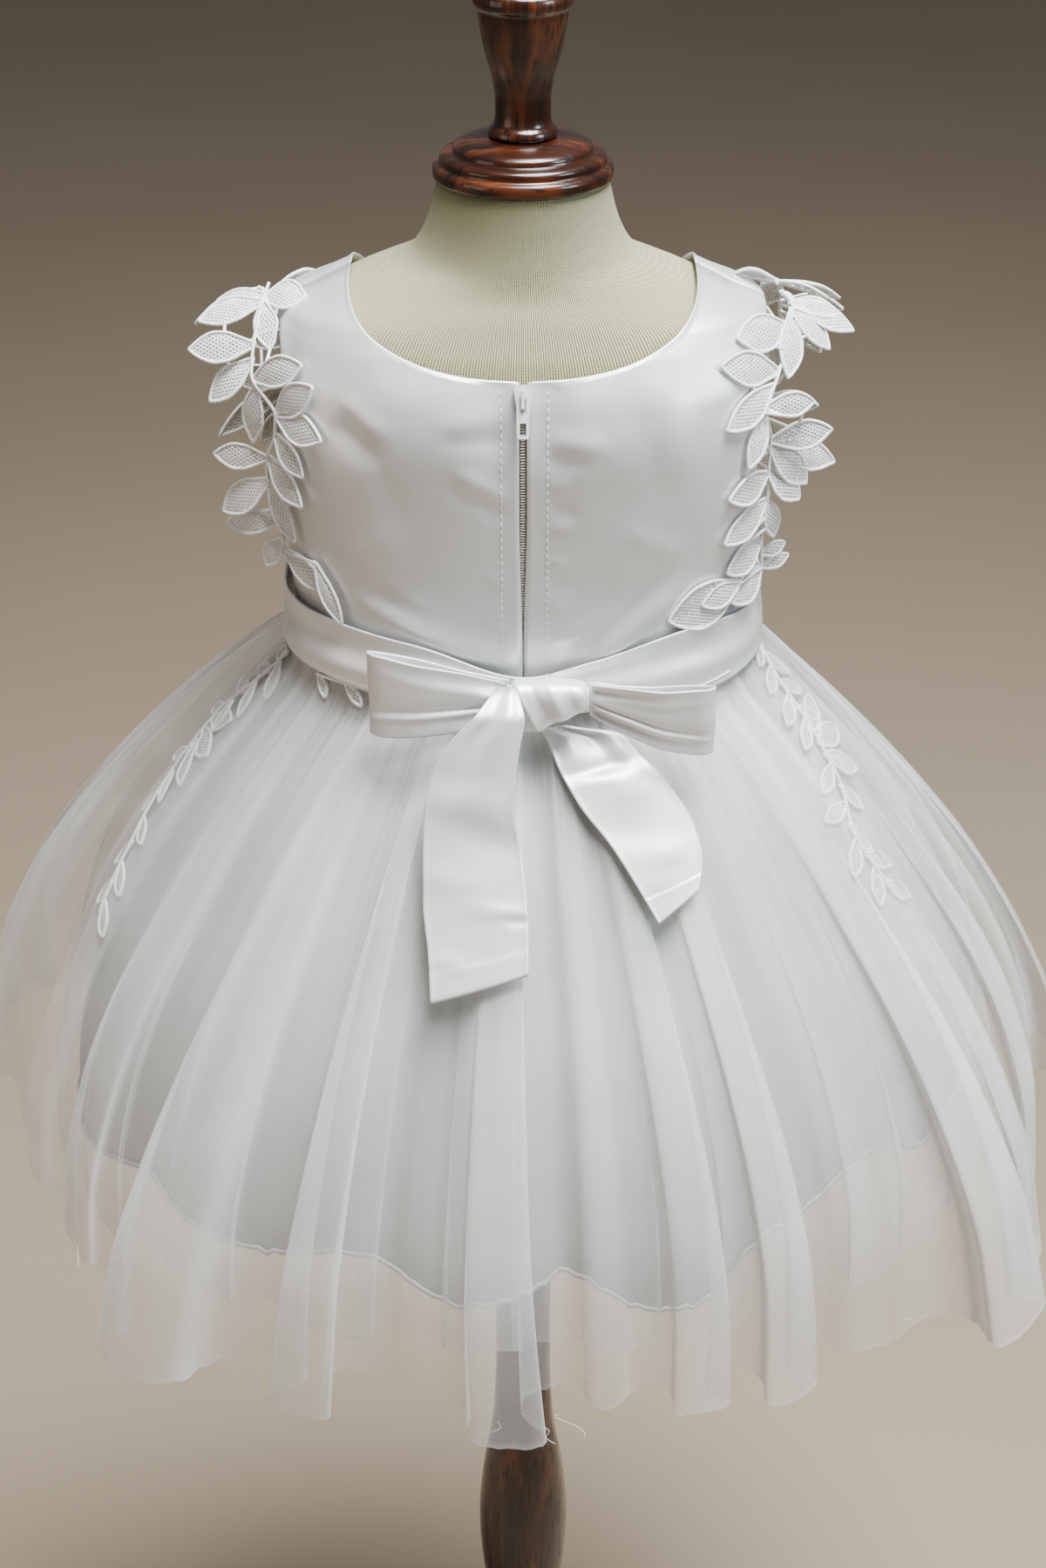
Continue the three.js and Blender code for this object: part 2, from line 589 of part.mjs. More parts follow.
// A point of a bodice panel: u runs from the middle to the armhole, v from the waist up to the
// shoulder seam. The panel stops half a seam short of 90 degrees.
function panelPlace(u, v, neckZ, halfGap) {
  const from = innerEdge(v, neckZ, halfGap);
  const to = outerEdge(v);
  const z = lerp(from.z, to.z, u);
  const turn = lerp(from.turn, to.turn, u);
  return { turn: Math.min(turn, 90 - seamTurn(bodyRadius(90, z))), z };
}

const zipSlit = (z) => lerp(SEAM / 2, ZIP.halfSlit, smoothstep(z, ZIP.slitFoot, ZIP.slitTop));
const PANEL_ROWS = [0, 0.22, 0.32, 0.42, 0.52, 0.62, 0.7, 0.77, 0.84, 0.9, 0.945, 0.975, 1];

// Half a bodice, on the back or the front, on the side of +X (1) or of -X (-1).
function halfBodice(face, side) {
  const rightward = face * side > 0;
  const on = (surface) => (u, v) => {
    const share = rightward ? u : 1 - u;
    const { turn, z } = face > 0
      ? panelPlace(share, v, NECK.back, zipSlit)
      : panelPlace(share, v, NECK.front, () => 0);
    return surface(face > 0 ? turn * side : 180 - turn * side, z);
  };
  return clothWall(on(lifted(bodyAt, SATIN)), spaced(7), PANEL_ROWS, SATIN, on(bodyAt));
}

// The front is cut in one piece: its halves are joined where their middle rims meet.
function frontPanel() {
  return joined([halfBodice(-1, 1), halfBodice(-1, -1)]);
}

// ---------------------------------------------------------------- skirt
// How fully a fold or swell stands at a turn, from 0 beside it to 1 on its crest.
function bumpAt({ turn: crest, spread }, turn) {
  const away = Math.abs(((turn - crest + 540) % 360) - 180) / spread;
  return away < 1 ? (1 - away * away) ** 2 : 0;
}

// How far out the folds stand at a turn, from 0 in a valley to 1 on the fullest crest, and how
// far the hem hangs there.
function foldsAt(folds, turn) {
  let valley = 1;
  let dip = 0;
  for (const fold of folds) {
    const bump = bumpAt(fold, turn);
    valley *= 1 - fold.reach * bump;
    dip += fold.dip * bump;
  }
  return { out: 1 - valley, dip };
}

// A point of a skirt layer: v is 0 at the hem and 1 at the waist.
function layerPlace(layer, turn, v) {
  const { out, dip } = foldsAt(layer.folds, turn);
  const z = lerp(layer.hem - dip, layer.top, v);
  const fall = clamp((FLARE_TOP - z) / (FLARE_TOP - layer.hem), 0, 1.1);
  const near = layer.waist + layer.room * Math.min(fall * ROOM_GROWS, 1);
  const inset = near + Math.max(layer.inset - layer.waist - layer.room, 0) * fall;
  const swell = layer.swells.reduce(
    (sum, each) => sum + each.reach * bumpAt(each, turn) * fall ** each.growth,
    0,
  );
  return { radius: valleyRadius(turn, z) - inset + swell + layer.depth * fall ** 0.9 * out, z };
}

function layerSurface(name) {
  return (turn, v) => {
    const { radius, z } = layerPlace(layers[name], turn, v);
    return aroundAxis(radius, turn, z);
  };
}

// The turns at which a layer is sampled between its two side seams: each fold's crest and its
// two shoulders, and the valleys between folds.
function foldTurns({ folds, shoulders }, from, to) {
  const ordered = folds.map(({ turn, spread }) => ({ turn: from + ((turn - from + 360) % 360), spread }));
  const turns = ordered.flatMap(({ turn, spread }) => shoulders.map((share) => turn + share * spread));
  const crests = ordered.map(({ turn }) => turn).sort((a, b) => a - b);
  crests.slice(1).forEach((turn, i) => turns.push((turn + crests[i]) / 2));
  const inside = turns.filter((turn) => turn > from + 1 && turn < to - 1).sort((a, b) => a - b);
  const kept = inside.filter((turn, i) => i === 0 || turn - inside[i - 1] > 0.9);
  return [from, ...kept, to];
}

function skirtHalf(name, from, to) {
  const surface = layerSurface(name);
  const gap = (turn, v) => seamTurn(surface(turn, v).setZ(0).length());
  const trimmed = (turn, v) => {
    const least = from + gap(from, v);
    const most = to - gap(to, v);
    return surface(clamp(turn, least, most), v);
  };
  const steps = SKIRT_STEPS.map((step) => 1 - step).reverse();
  return clothWall(trimmed, foldTurns(layers[name], from, to), steps, TULLE);
}

// The crests of the outer tulle, over which ribbon lies.
function crestPoint(x, z, lift) {
  const fall = clamp((FLARE_TOP - z) / (FLARE_TOP - layers.outer.hem), 0, 1);
  const extra = layers.outer.depth * fall ** 0.9 + lift;
  let y = -100;
  for (let round = 0; round < 40; round += 1) {
    const turn = THREE.MathUtils.radToDeg(Math.atan2(x, -y));
    y = -valleyRadius(turn, z, extra) * Math.cos(radians(turn));
  }
  return new THREE.Vector3(x, y, WAIST + z);
}

// ---------------------------------------------------------------- sash and bow
function sashSurface() {
  const curve = curvesThrough(sashRows, ['z', 'half'], 'turn');
  return (turn, v) => {
    const z = curve.z(turn) + curve.half(turn) * v;
    const blend = smoothstep(z, SASH_OUT.from, SASH_OUT.to);
    return lifted(bodyAt, lerp(SASH_OUT.low, SASH_OUT.high, blend) + SATIN)(turn, z);
  };
}

function sashPiece(from, to, columns) {
  return clothWall(sashSurface(), spaced(columns, from, to), [-1, 0, 1], SATIN);
}

// A ribbon of upright strip along a path, from its first row to its last.
function loopRibbon(rows) {
  const marked = rows.map((row, at) => ({ ...row, at }));
  const path = new THREE.CatmullRomCurve3(rows.map(({ x, y, z }) => new THREE.Vector3(x, y, z + WAIST)));
  const half = curveThrough(marked, 'half', 'at');
  return (u, v) => {
    const point = path.getPoint(u / (rows.length - 1));
    point.z += v * half(u);
    return point;
  };
}

function bowLoop(rows) {
  const steps = spaced((rows.length - 1) * 2, 0, rows.length - 1);
  const surface = loopRibbon(rows);
  const leftward = rows[1].x < rows[0].x;
  const ordered = leftward ? (u, v) => surface(rows.length - 1 - u, v) : surface;
  return clothWall(ordered, steps, [-1, 0, 1], SATIN);
}

function bowKnot() {
  const rings = knotRows.map(({ x, halfDepth, halfHeight }) => (
    spaced(KNOT.sides).slice(0, -1).map((share) => {
      const angle = share * 2 * Math.PI;
      const squared = (value) => Math.sign(value) * Math.abs(value) ** 0.8;
      const y = KNOT.y + halfDepth * squared(Math.cos(angle));
      return new THREE.Vector3(x, y, WAIST + KNOT.z + halfHeight * squared(Math.sin(angle)));
    })
  ));
  return loft(rings);
}

function bowTail(rows) {
  const marked = rows.map((row, at) => ({ ...row, at: rows.length - 1 - at })).reverse();
  const curve = curvesThrough(marked, ['leftX', 'leftZ', 'rightX', 'rightZ'], 'at');
  const surface = (u, v) => {
    const x = lerp(curve.leftX(v), curve.rightX(v), u);
    return crestPoint(x, lerp(curve.leftZ(v), curve.rightZ(v), u), TAIL_LIFT + SATIN);
  };
  return clothWall(surface, spaced(4), spaced(10, 0, rows.length - 1), SATIN);
}

// ---------------------------------------------------------------- lace
// A leaf: place gives the point at a share of its length and at a distance across it.
const leafOutline = [
  { at: 0, half: 0.15 },
  { at: 0.3, half: 0.86 },
  { at: 0.64, half: 0.94 },
  { at: 1, half: 0.12 },
];

function leaf(place, length) {
  const half = curveThrough(leafOutline, 'half', 'at');
  const surface = (u, v) => (
    place(lerp(-LEAF_ROOT, length, v), u * half(v) * length * LEAF_WIDTH * 0.5)
  );
  return clothWall(surface, [-1, 1], leafOutline.map(({ at }) => at), LACE);
}

// The frame of a stem point on a surface: the point, the way the stem runs, the way the surface
// faces, and the way across the stem.
function stemFrame(surface, path, at) {
  const place = path(at);
  const ahead = path(Math.min(at + 0.01, 1));
  const behind = path(Math.max(at - 0.01, 0));
  const point = surface(place.turn, place.z);
  const run = surface(ahead.turn, ahead.z).sub(surface(behind.turn, behind.z)).normalize();
  const out = facing(surface, place.turn, place.z);
  return { ...place, point, run, out, across: out.clone().cross(run).normalize() };
}

function stemPath(rows) {
  const curve = curvesThrough(rows, ['turn', 'z'], 'at');
  return (at) => ({ turn: curve.turn(at), z: curve.z(at) });
}

// A flat cord along a stem, which stands a little prouder than the leaves. Crowding draws its
// stations towards the start, where a shoulder bends it most.
function stem(surface, path, crowding = 1) {
  const strip = (u, v) => {
    const frame = stemFrame(surface, path, v);
    return frame.point.addScaledVector(frame.across, -u * STEM.width * 0.5)
      .addScaledVector(frame.out, STEM.proud);
  };
  const stations = spaced(STEM.steps).map((share) => share ** crowding);
  return clothWall(strip, [-1, 1], stations, LACE + STEM.proud * 0.5);
}

// A leaf that lies on the surface: steps along it are turned into turns and heights.
function lyingLeaf(surface, frame, side, lean, length) {
  const way = frame.run.clone().multiplyScalar(Math.cos(radians(lean)));
  way.addScaledVector(frame.across, side * Math.sin(radians(lean)));
  const cross = frame.out.clone().cross(way);
  const turnStep = surface(frame.turn + 0.5, frame.z).sub(surface(frame.turn - 0.5, frame.z));
  const riseStep = surface(frame.turn, frame.z + 0.5).sub(surface(frame.turn, frame.z - 0.5));
  const place = (along, aside) => {
    const move = way.clone().multiplyScalar(along).addScaledVector(cross, -aside);
    const rise = move.dot(riseStep) / riseStep.lengthSq();
    const turn = move.addScaledVector(riseStep, -rise).dot(turnStep) / turnStep.lengthSq();
    return surface(frame.turn + turn, frame.z + rise);
  };
  return leaf(place, length);
}

// A leaf that stands out past the armhole, in the plane of the stem and the way out.
function standingLeaf(frame, hand, lean, length) {
  const outward = new THREE.Vector3(hand, 0, 0).addScaledVector(frame.out, 0.15);
  outward.addScaledVector(frame.run, -outward.dot(frame.run)).normalize();
  const way = frame.run.clone().multiplyScalar(Math.cos(radians(lean)));
  way.addScaledVector(outward, Math.sin(radians(lean)));
  const over = frame.run.clone().cross(outward).normalize();
  const upper = over.dot(frame.out) < 0 ? over.negate() : over;
  const cross = upper.clone().cross(way);
  const place = (along, aside) => {
    const droop = -0.006 * along * along;
    return frame.point.clone().addScaledVector(way, along).addScaledVector(cross, -aside)
      .addScaledVector(upper, droop);
  };
  return leaf(place, length);
}

// The lace of one armhole: a stem up the back, over the shoulder and down the front.
function armholeLace(hand) {
  const surface = lifted(bodyAt, SATIN + LACE_SEAT + LACE);
  const pieces = [];
  for (const face of [1, -1]) {
    const back = stemPath(laceRows);
    const path = (at) => {
      const { turn, z } = back(at);
      return { turn: hand * (face > 0 ? turn : 180 - turn), z };
    };
    pieces.push(stem(surface, path, STEM.crowding));
    for (const { at, side, lean, length } of laceLeaves) {
      const frame = stemFrame(surface, path, at);
      const inward = -hand * face;
      if (side > 0) pieces.push(standingLeaf(frame, hand, lean, length));
      else pieces.push(lyingLeaf(surface, frame, inward, lean, length));
    }
  }
  return fused(pieces);
}

// A vine of lace that hangs on the inner tulle.
function skirtLace(rows) {
  const inner = layerSurface('inner');
  const shareOf = (turn, z) => {
    const hem = layers.inner.hem - foldsAt(layers.inner.folds, turn).dip;
    return (z - hem) / (layers.inner.top - hem);
  };
  const surface = lifted((turn, z) => inner(turn, shareOf(turn, z)), VINE_SEAT + LACE);
  const path = stemPath(rows);
  const pieces = [stem(surface, path)];
  for (const { at, side, lean, length } of vineLeaves) {
    pieces.push(lyingLeaf(surface, stemFrame(surface, path, at), side, lean, length));
  }
  return fused(pieces);
}

// ---------------------------------------------------------------- zip
const zipLean = (() => {
  const up = bodyAt(0, SLIDER.z + 4).sub(bodyAt(0, SLIDER.z - 4));
  return Math.atan2(up.z, up.y);
})();

function zipTape() {
  const under = lifted(bodyAt, -TAPE_SEAT);
  const surface = (x, z) => under(THREE.MathUtils.radToDeg(Math.atan(x / bodyRadius(0, z))), z);
  return clothWall(surface, [-ZIP.halfTape, -2, 2, ZIP.halfTape], spaced(7, ZIP.foot, ZIP.top), 1.1);
}

// The slider in its own frame: x across, y up the zip, z out of the bodice's inner face.
function zipSlider() {
  const { halfWidth, halfLength, low, top, keel } = SLIDER;
  const shape = new THREE.Shape();
  shape.moveTo(-halfWidth * 0.72, -halfLength);
  shape.lineTo(halfWidth * 0.72, -halfLength);
  shape.lineTo(halfWidth * 0.86, 0);
  shape.lineTo(halfWidth, halfLength * 0.45);
  shape.absarc(halfWidth - 1.6, halfLength - 1.6, 1.6, 0, Math.PI / 2, false);
  shape.absarc(-halfWidth + 1.6, halfLength - 1.6, 1.6, Math.PI / 2, Math.PI, false);
  shape.lineTo(-halfWidth, halfLength * 0.45);
  shape.lineTo(-halfWidth * 0.86, 0);
  const body = new THREE.ExtrudeGeometry(shape, { depth: top - low, bevelEnabled: false, curveSegments: 4 });
  const { foot, head, inner, outer, leg } = BRIDGE;
  const half = BRIDGE.halfWidth;
  return fused([
    body.translate(0, 0, low),
    boxBetween([-keel, -halfLength + 1, SEAM - TAPE_SEAT], [keel, halfLength - 1, low + 0.5]),
    boxBetween([-half, foot, top - 0.5], [half, foot + leg, outer]),
    boxBetween([-half, head - leg, top - 0.5], [half, head, outer]),
    boxBetween([-half, foot, inner], [half, head, outer]),
  ]);
}

// The pull tab, a stamped frame whose bar lies under the slider's bridge.
function zipPull() {
  const { halfWidth, length, thick, bar, slot } = PULL;
  const shape = new THREE.Shape();
  shape.moveTo(-halfWidth * 0.8, bar / 2);
  shape.lineTo(-halfWidth, -2);
  shape.lineTo(-halfWidth * 0.92, -length + 1);
  shape.absarc(-halfWidth * 0.92 + 1, -length + 1, 1, Math.PI, Math.PI * 1.5, false);
  shape.absarc(halfWidth * 0.92 - 1, -length + 1, 1, Math.PI * 1.5, Math.PI * 2, false);
  shape.lineTo(halfWidth, -2);
  shape.lineTo(halfWidth * 0.8, bar / 2);
  const slit = (halfSlot, from, to) => {
    const hole = new THREE.Path();
    hole.moveTo(-halfSlot, from);
    hole.lineTo(-halfSlot, to);
    hole.lineTo(halfSlot, to);
    hole.lineTo(halfSlot, from);
    shape.holes.push(hole);
  };
  slit(BRIDGE.halfWidth + 0.55, -bar / 2 - 5.2, -bar / 2);
  slit(1.15, -length + 1.3, -length + slot - 2.4);
  return new THREE.ExtrudeGeometry(shape, { depth: thick, bevelEnabled: false, curveSegments: 3 })
    .translate(0, 0, -thick / 2);
}

// ---------------------------------------------------------------- form and stand
function formTorso() {
  const sides = 28;
  const rings = formRows.map(({ z }) => (
    spaced(sides).slice(0, -1).map((share) => aroundAxis(formRadius(share * 360, z), share * 360, z))
  ));
  return loft(rings);
}

function standBase() {
  const { radius, height, edge, foot, rise, inner, collar, dish } = BASE;
  const outline = [{ r: radius - foot, z: 0 }, { r: radius, z: foot }];
  const middle = { r: radius - edge, z: height - rise - edge };
  for (const swing of spaced(3, 0, 90)) {
    const angle = radians(swing);
    outline.push({ r: middle.r + edge * Math.cos(angle), z: middle.z + edge * Math.sin(angle) });
  }
  outline.push({ r: inner, z: height - dish }, { r: collar, z: height });
  return turned(outline, 28);
}

// ---------------------------------------------------------------- the assembled part
const satin = { color: '#f4f2ef', roughness: 0.42, metalness: 0 };
const net = { color: '#f6f5f4', roughness: 0.8, metalness: 0 };
const cord = { color: '#f7f6f3', roughness: 0.75, metalness: 0 };
const jersey = { color: '#d9cfb8', roughness: 0.95, metalness: 0 };
const wood = { color: '#3a160c', roughness: 0.28, metalness: 0 };
const enamel = { color: '#e6e6e4', roughness: 0.35, metalness: 0.3 };
const nylon = { color: '#e8dfcd', roughness: 0.6, metalness: 0 };

const group = new THREE.Group();

function add(name, geometry, look, parent = group) {
  const mesh = new THREE.Mesh(geometry, new THREE.MeshStandardMaterial(look));
  mesh.name = name;
  parent.add(mesh);
  return mesh;
}

add('stand_base', standBase(), wood);
add('stand_column', turned(columnOutline, 16), wood);
add('form_torso', formTorso(), jersey);
add('neck_cap_flange', turned(capOutline, 24, WAIST), wood);
add('neck_cap_post', turned(postOutline, 16, WAIST), wood);

add('bodice_front', frontPanel(), satin);
add('bodice_back_left', halfBodice(1, -1), satin);
add('bodice_back_right', halfBodice(1, 1), satin);

for (const name of ['lining', 'inner', 'outer']) {
  const node = name === 'lining' ? 'skirt_lining' : `skirt_tulle_${name}`;
  add(`${node}_back`, skirtHalf(name, -90, 90), name === 'lining' ? satin : net);
  add(`${node}_front`, skirtHalf(name, 90, 270), name === 'lining' ? satin : net);
}

const knotTurn = THREE.MathUtils.radToDeg(Math.atan(KNOT_X / bodyRadius(0, 0)));
add('sash_front', sashPiece(90 + seamTurn(95), 270 - seamTurn(95), 24), satin);
add('sash_back_left', sashPiece(-90 + seamTurn(95), knotTurn - seamTurn(70), 14), satin);
add('sash_back_right', sashPiece(knotTurn + seamTurn(70), 90 - seamTurn(95), 11), satin);
add('bow_loop_left', bowLoop(leftLoopRows), satin);
add('bow_loop_right', bowLoop(rightLoopRows), satin);
add('bow_knot', bowKnot(), satin);
add('bow_tail_left', bowTail(leftTailRows), satin);
add('bow_tail_right', bowTail(rightTailRows), satin);

add('armhole_lace_left', armholeLace(-1), cord);
add('armhole_lace_right', armholeLace(1), cord);
add('skirt_lace_left', skirtLace(leftVineRows), cord);
add('skirt_lace_right', skirtLace(rightVineRows), cord);

add('zip_tape', zipTape(), nylon);
const zip = new THREE.Group();
zip.position.copy(bodyAt(0, SLIDER.z));
zip.rotation.x = zipLean;
group.add(zip);
add('zip_slider', zipSlider(), enamel, zip);
const pull = add('zip_pull', zipPull(), enamel, zip);
pull.position.set(0, PULL.y, PULL.n);

export default group;
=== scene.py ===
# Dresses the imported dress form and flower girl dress: satin bodice, zip, sash and bow, leaf lace,
# and a gathered skirt of two tulle layers over a satin lining.
import bpy
import bmesh
import json
import math
import numpy as np
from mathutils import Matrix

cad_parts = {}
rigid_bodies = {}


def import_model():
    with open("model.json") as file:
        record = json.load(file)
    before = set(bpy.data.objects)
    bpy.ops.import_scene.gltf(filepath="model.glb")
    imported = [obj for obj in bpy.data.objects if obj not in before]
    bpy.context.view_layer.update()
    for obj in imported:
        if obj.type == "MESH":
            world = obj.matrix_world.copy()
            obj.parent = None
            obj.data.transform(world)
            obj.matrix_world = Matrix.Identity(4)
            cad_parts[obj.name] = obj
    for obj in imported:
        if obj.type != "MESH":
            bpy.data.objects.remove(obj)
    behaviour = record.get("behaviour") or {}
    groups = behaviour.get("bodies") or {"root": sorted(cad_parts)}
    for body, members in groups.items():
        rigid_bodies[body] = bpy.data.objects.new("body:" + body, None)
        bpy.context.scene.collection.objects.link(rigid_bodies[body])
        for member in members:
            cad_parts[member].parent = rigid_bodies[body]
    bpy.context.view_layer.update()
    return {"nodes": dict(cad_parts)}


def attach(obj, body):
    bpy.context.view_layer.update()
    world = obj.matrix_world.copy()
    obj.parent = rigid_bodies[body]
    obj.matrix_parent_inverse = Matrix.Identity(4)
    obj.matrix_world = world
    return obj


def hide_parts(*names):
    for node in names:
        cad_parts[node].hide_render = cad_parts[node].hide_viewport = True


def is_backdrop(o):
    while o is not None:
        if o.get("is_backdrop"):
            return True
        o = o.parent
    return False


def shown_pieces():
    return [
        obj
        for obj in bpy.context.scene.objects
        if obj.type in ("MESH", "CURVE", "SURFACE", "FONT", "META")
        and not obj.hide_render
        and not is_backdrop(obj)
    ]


for spare in list(bpy.data.objects):
    bpy.data.objects.remove(spare)
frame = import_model()

# Shapes are worked out in millimetres, with z from the waist seam, and meshes are in metres.
mm = 0.001
waist = 810
seamGap = 0.3
satinWall = 1.2
noiseCells = 211  # softNoise repeats after this many bumps


def table(names, rows):
    return dict(zip(names.split(), np.array(rows, float).T))


def rowsOf(columns):
    return zip(*columns.values())


# numbers and curves
def lerp(a, b, share):
    return a + (b - a) * share


def smoothstep(value, low, high):
    share = np.clip((value - low) / (high - low), 0, 1)
    return share * share * (3 - 2 * share)


def unit(vectors):
    return vectors / np.maximum(np.linalg.norm(vectors, axis=-1, keepdims=True), 1e-9)


def hump(share, width=1):
    # 1 in the middle, and dying away smoothly on both sides of it
    return np.exp(-((share / width) ** 2))


def stepsAlong(points, axis):
    return np.linalg.norm(np.diff(points, axis=axis), axis=-1)


def runningTotal(steps):
    return np.concatenate([[0], np.cumsum(steps)])


def smoothCurve(rows, name, key="z"):
    # passes through every row and never overshoots
    x, y = rows[key], rows[name]
    slope = np.diff(y) / np.diff(x)
    tangent = np.concatenate([slope[:1], np.zeros(len(slope) - 1), slope[-1:]])
    same = slope[:-1] * slope[1:] > 0
    total = np.where(same, slope[:-1] + slope[1:], 1)
    tangent[1:-1] = np.where(same, 2 * slope[:-1] * slope[1:] / total, 0)

    def at(value):
        value = np.clip(value, x[0], x[-1])
        i = np.clip(np.searchsorted(x, value, side="right") - 1, 0, len(x) - 2)
        step = x[i + 1] - x[i]
        t = (value - x[i]) / step
        start = (1 + 2 * t) * (1 - t) ** 2 * y[i] + t * (1 - t) ** 2 * step * tangent[i]
        end = t * t * (3 - 2 * t) * y[i + 1] + t * t * (t - 1) * step * tangent[i + 1]
        return start + end

    return at


def ovalRadius(rows):
    # stacked rounded ovals: the distance from the axis at a turn and a height
    side, back, front, power = (smoothCurve(rows, n) for n in ("side", "back", "front", "power"))

    def radius(turn, z, extra=0):
        angle = np.radians(turn)
        depth = np.where(np.cos(angle) > 0, back(z), front(z))
        across = np.abs(np.sin(angle)) / (side(z) + extra)
        along = np.abs(np.cos(angle)) / (depth + extra)
        return (across ** power(z) + along ** power(z)) ** (-1 / power(z))

    return radius


def aroundAxis(radius, turn, z):
    # turn is in degrees from the middle of the back towards +X
    radius, angle, z = np.broadcast_arrays(radius, np.radians(turn), z)
    return np.stack([radius * np.sin(angle), -radius * np.cos(angle), waist + z], axis=-1)


def turnAt(x, y):
    return np.degrees(np.arctan2(x, -y))


def turnApart(turn, other):
    return (turn - other + 540) % 360 - 180


def facing(surface, u, v, step=0.05):
    across = surface(u + step, v) - surface(u - step, v)
    up = surface(u, v + step) - surface(u, v - step)
    return unit(np.cross(across, up))


def lifted(surface, out):
    def place(u, v):
        return surface(u, v) + facing(surface, u, v) * np.asarray(out)[..., None]

    return place


def gridFacing(points):
    return unit(np.cross(np.gradient(points, axis=0), np.gradient(points, axis=1)))


def softNoise(u, v, seed):
    # smooth uneven values from -1 to 1, about one bump to a unit
    cells = np.random.RandomState(seed).uniform(-1, 1, (noiseCells, noiseCells))
    u, v = np.broadcast_arrays(u, v)
    iu, iv = np.floor(u).astype(int), np.floor(v).astype(int)
    fu, fv = u - iu, v - iv
    fu, fv = fu * fu * (3 - 2 * fu), fv * fv * (3 - 2 * fv)
    left, right = iu % noiseCells, (iu + 1) % noiseCells
    below, above = iv % noiseCells, (iv + 1) % noiseCells
    low = lerp(cells[left, below], cells[right, below], fu)
    high = lerp(cells[left, above], cells[right, above], fu)
    return lerp(low, high, fv)


# meshes
def meshObject(name, mesh, materials):
    made = bpy.data.objects.new(name, mesh)
    bpy.context.scene.collection.objects.link(made)
    for material in materials:
        mesh.materials.append(material)
    return made


def gridMesh(name, points, uv=None, marks=None, closed=False, flip=False):
    # quads over a grid of points, u to the right and v up as seen from outside
    nu, nv = points.shape[:2]
    index = np.arange(nu * nv).reshape(nu, nv)
    if closed:
        index = np.vstack([index, index[:1]])
    quads = np.stack([index[:-1, :-1], index[1:, :-1], index[1:, 1:], index[:-1, 1:]], -1)
    if flip:
        quads = quads[..., ::-1]
    mesh = bpy.data.meshes.new(name)
    mesh.from_pydata((points.reshape(-1, 3) * mm).tolist(), [], quads.reshape(-1, 4).tolist())
    mesh.polygons.foreach_set("use_smooth", np.ones(len(mesh.polygons), bool))
    if uv is not None:
        corners = np.stack([uv[:-1, :-1], uv[1:, :-1], uv[1:, 1:], uv[:-1, 1:]], 2)
        if flip:
            corners = corners[:, :, ::-1]
        layer = mesh.uv_layers.new(name="cut")
        layer.data.foreach_set("uv", corners.reshape(-1).astype(np.float32))
    for key, values in (marks or {}).items():
        attribute = mesh.attributes.new(key, "FLOAT", "POINT")
        attribute.data.foreach_set("value", values.reshape(-1).astype(np.float32))
    mesh.update()
    return mesh


def clothUv(points):
    # the cut cloth's own millimetres, so a net or weave keeps its real size
    u = runningTotal(stepsAlong(points, 0).max(axis=1))
    v = runningTotal(stepsAlong(points, 1).mean(axis=0))
    return np.stack(np.meshgrid(u, v, indexing="ij"), -1)


def closeMesh(mesh):
    form = bmesh.new()
    form.from_mesh(mesh)
    bmesh.ops.remove_doubles(form, verts=form.verts, dist=1e-6)
    form.to_mesh(mesh)
    form.free()


def cutOf(grids):
    # developed widths of the lower and upper edges, the length and the area, in metres
    low = high = tall = area = 0
    for points in grids:
        across, up = np.diff(points[:, :-1], axis=0), np.diff(points[:-1], axis=1)
        area += np.linalg.norm(np.cross(across, up), axis=-1).sum() * mm * mm
        low += stepsAlong(points[:, 0], 0).sum() * mm
        high += stepsAlong(points[:, -1], 0).sum() * mm
        tall = stepsAlong(points, 1).sum(axis=1).mean() * mm
    return low, high, tall, area


def thicken(piece, wall):
    solid = piece.modifiers.new("wall", "SOLIDIFY")
    solid.thickness = wall * mm
    solid.offset = -1
    solid.use_even_offset = False
    return piece


def settle(piece, slotName, *nodes, body="root"):
    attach(piece, body)
    if nodes:
        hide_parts(*nodes)
    return piece


def wireMesh(name, paths, closed):
    # bare edges along each path, which the node trees turn into cords, stitches and teeth
    points, edges = [], []
    for path in paths:
        first = len(points)
        points += (np.asarray(path) * mm).tolist()
        count = len(path)
        edges += [(first + i, first + i + 1) for i in range(count - 1)]
        if closed:
            edges.append((first + count - 1, first))
    mesh = bpy.data.meshes.new(name)
    mesh.from_pydata(points, edges, [])
    return mesh


# node trees
def addNode(tree, kind, inputs=None, **settings):
    made = tree.nodes.new(kind)
    for key, value in settings.items():
        setattr(made, key, value)
    for key, value in (inputs or {}).items():
        if isinstance(value, bpy.types.NodeSocket):
            tree.links.new(value, made.inputs[key])
        else:
            made.inputs[key].default_value = value
    return made


def calc(tree, operation, *values, clamp=False):
    inputs = dict(enumerate(values))
    return addNode(tree, "ShaderNodeMath", inputs, operation=operation, use_clamp=clamp).outputs[0]


def makeGroup(name, inputs, outputs, kind="ShaderNodeTree"):
    tree = bpy.data.node_groups.new(name, kind)
    for key, (socketType, value) in inputs.items():
        made = tree.interface.new_socket(key, in_out="INPUT", socket_type=socketType)
        if value is not None:
            made.default_value = value
    for key, socketType in outputs.items():
        tree.interface.new_socket(key, in_out="OUTPUT", socket_type=socketType)
    return tree, tree.nodes.new("NodeGroupInput").outputs, tree.nodes.new("NodeGroupOutput").inputs


def useGroup(tree, group, inputs):
    return addNode(tree, "ShaderNodeGroup", inputs, node_tree=group).outputs


def mixColours(tree, factor, low, high):
    inputs = {"Factor": factor, "A": low, "B": high}
    return addNode(tree, "ShaderNodeMix", inputs, data_type="RGBA").outputs["Result"]


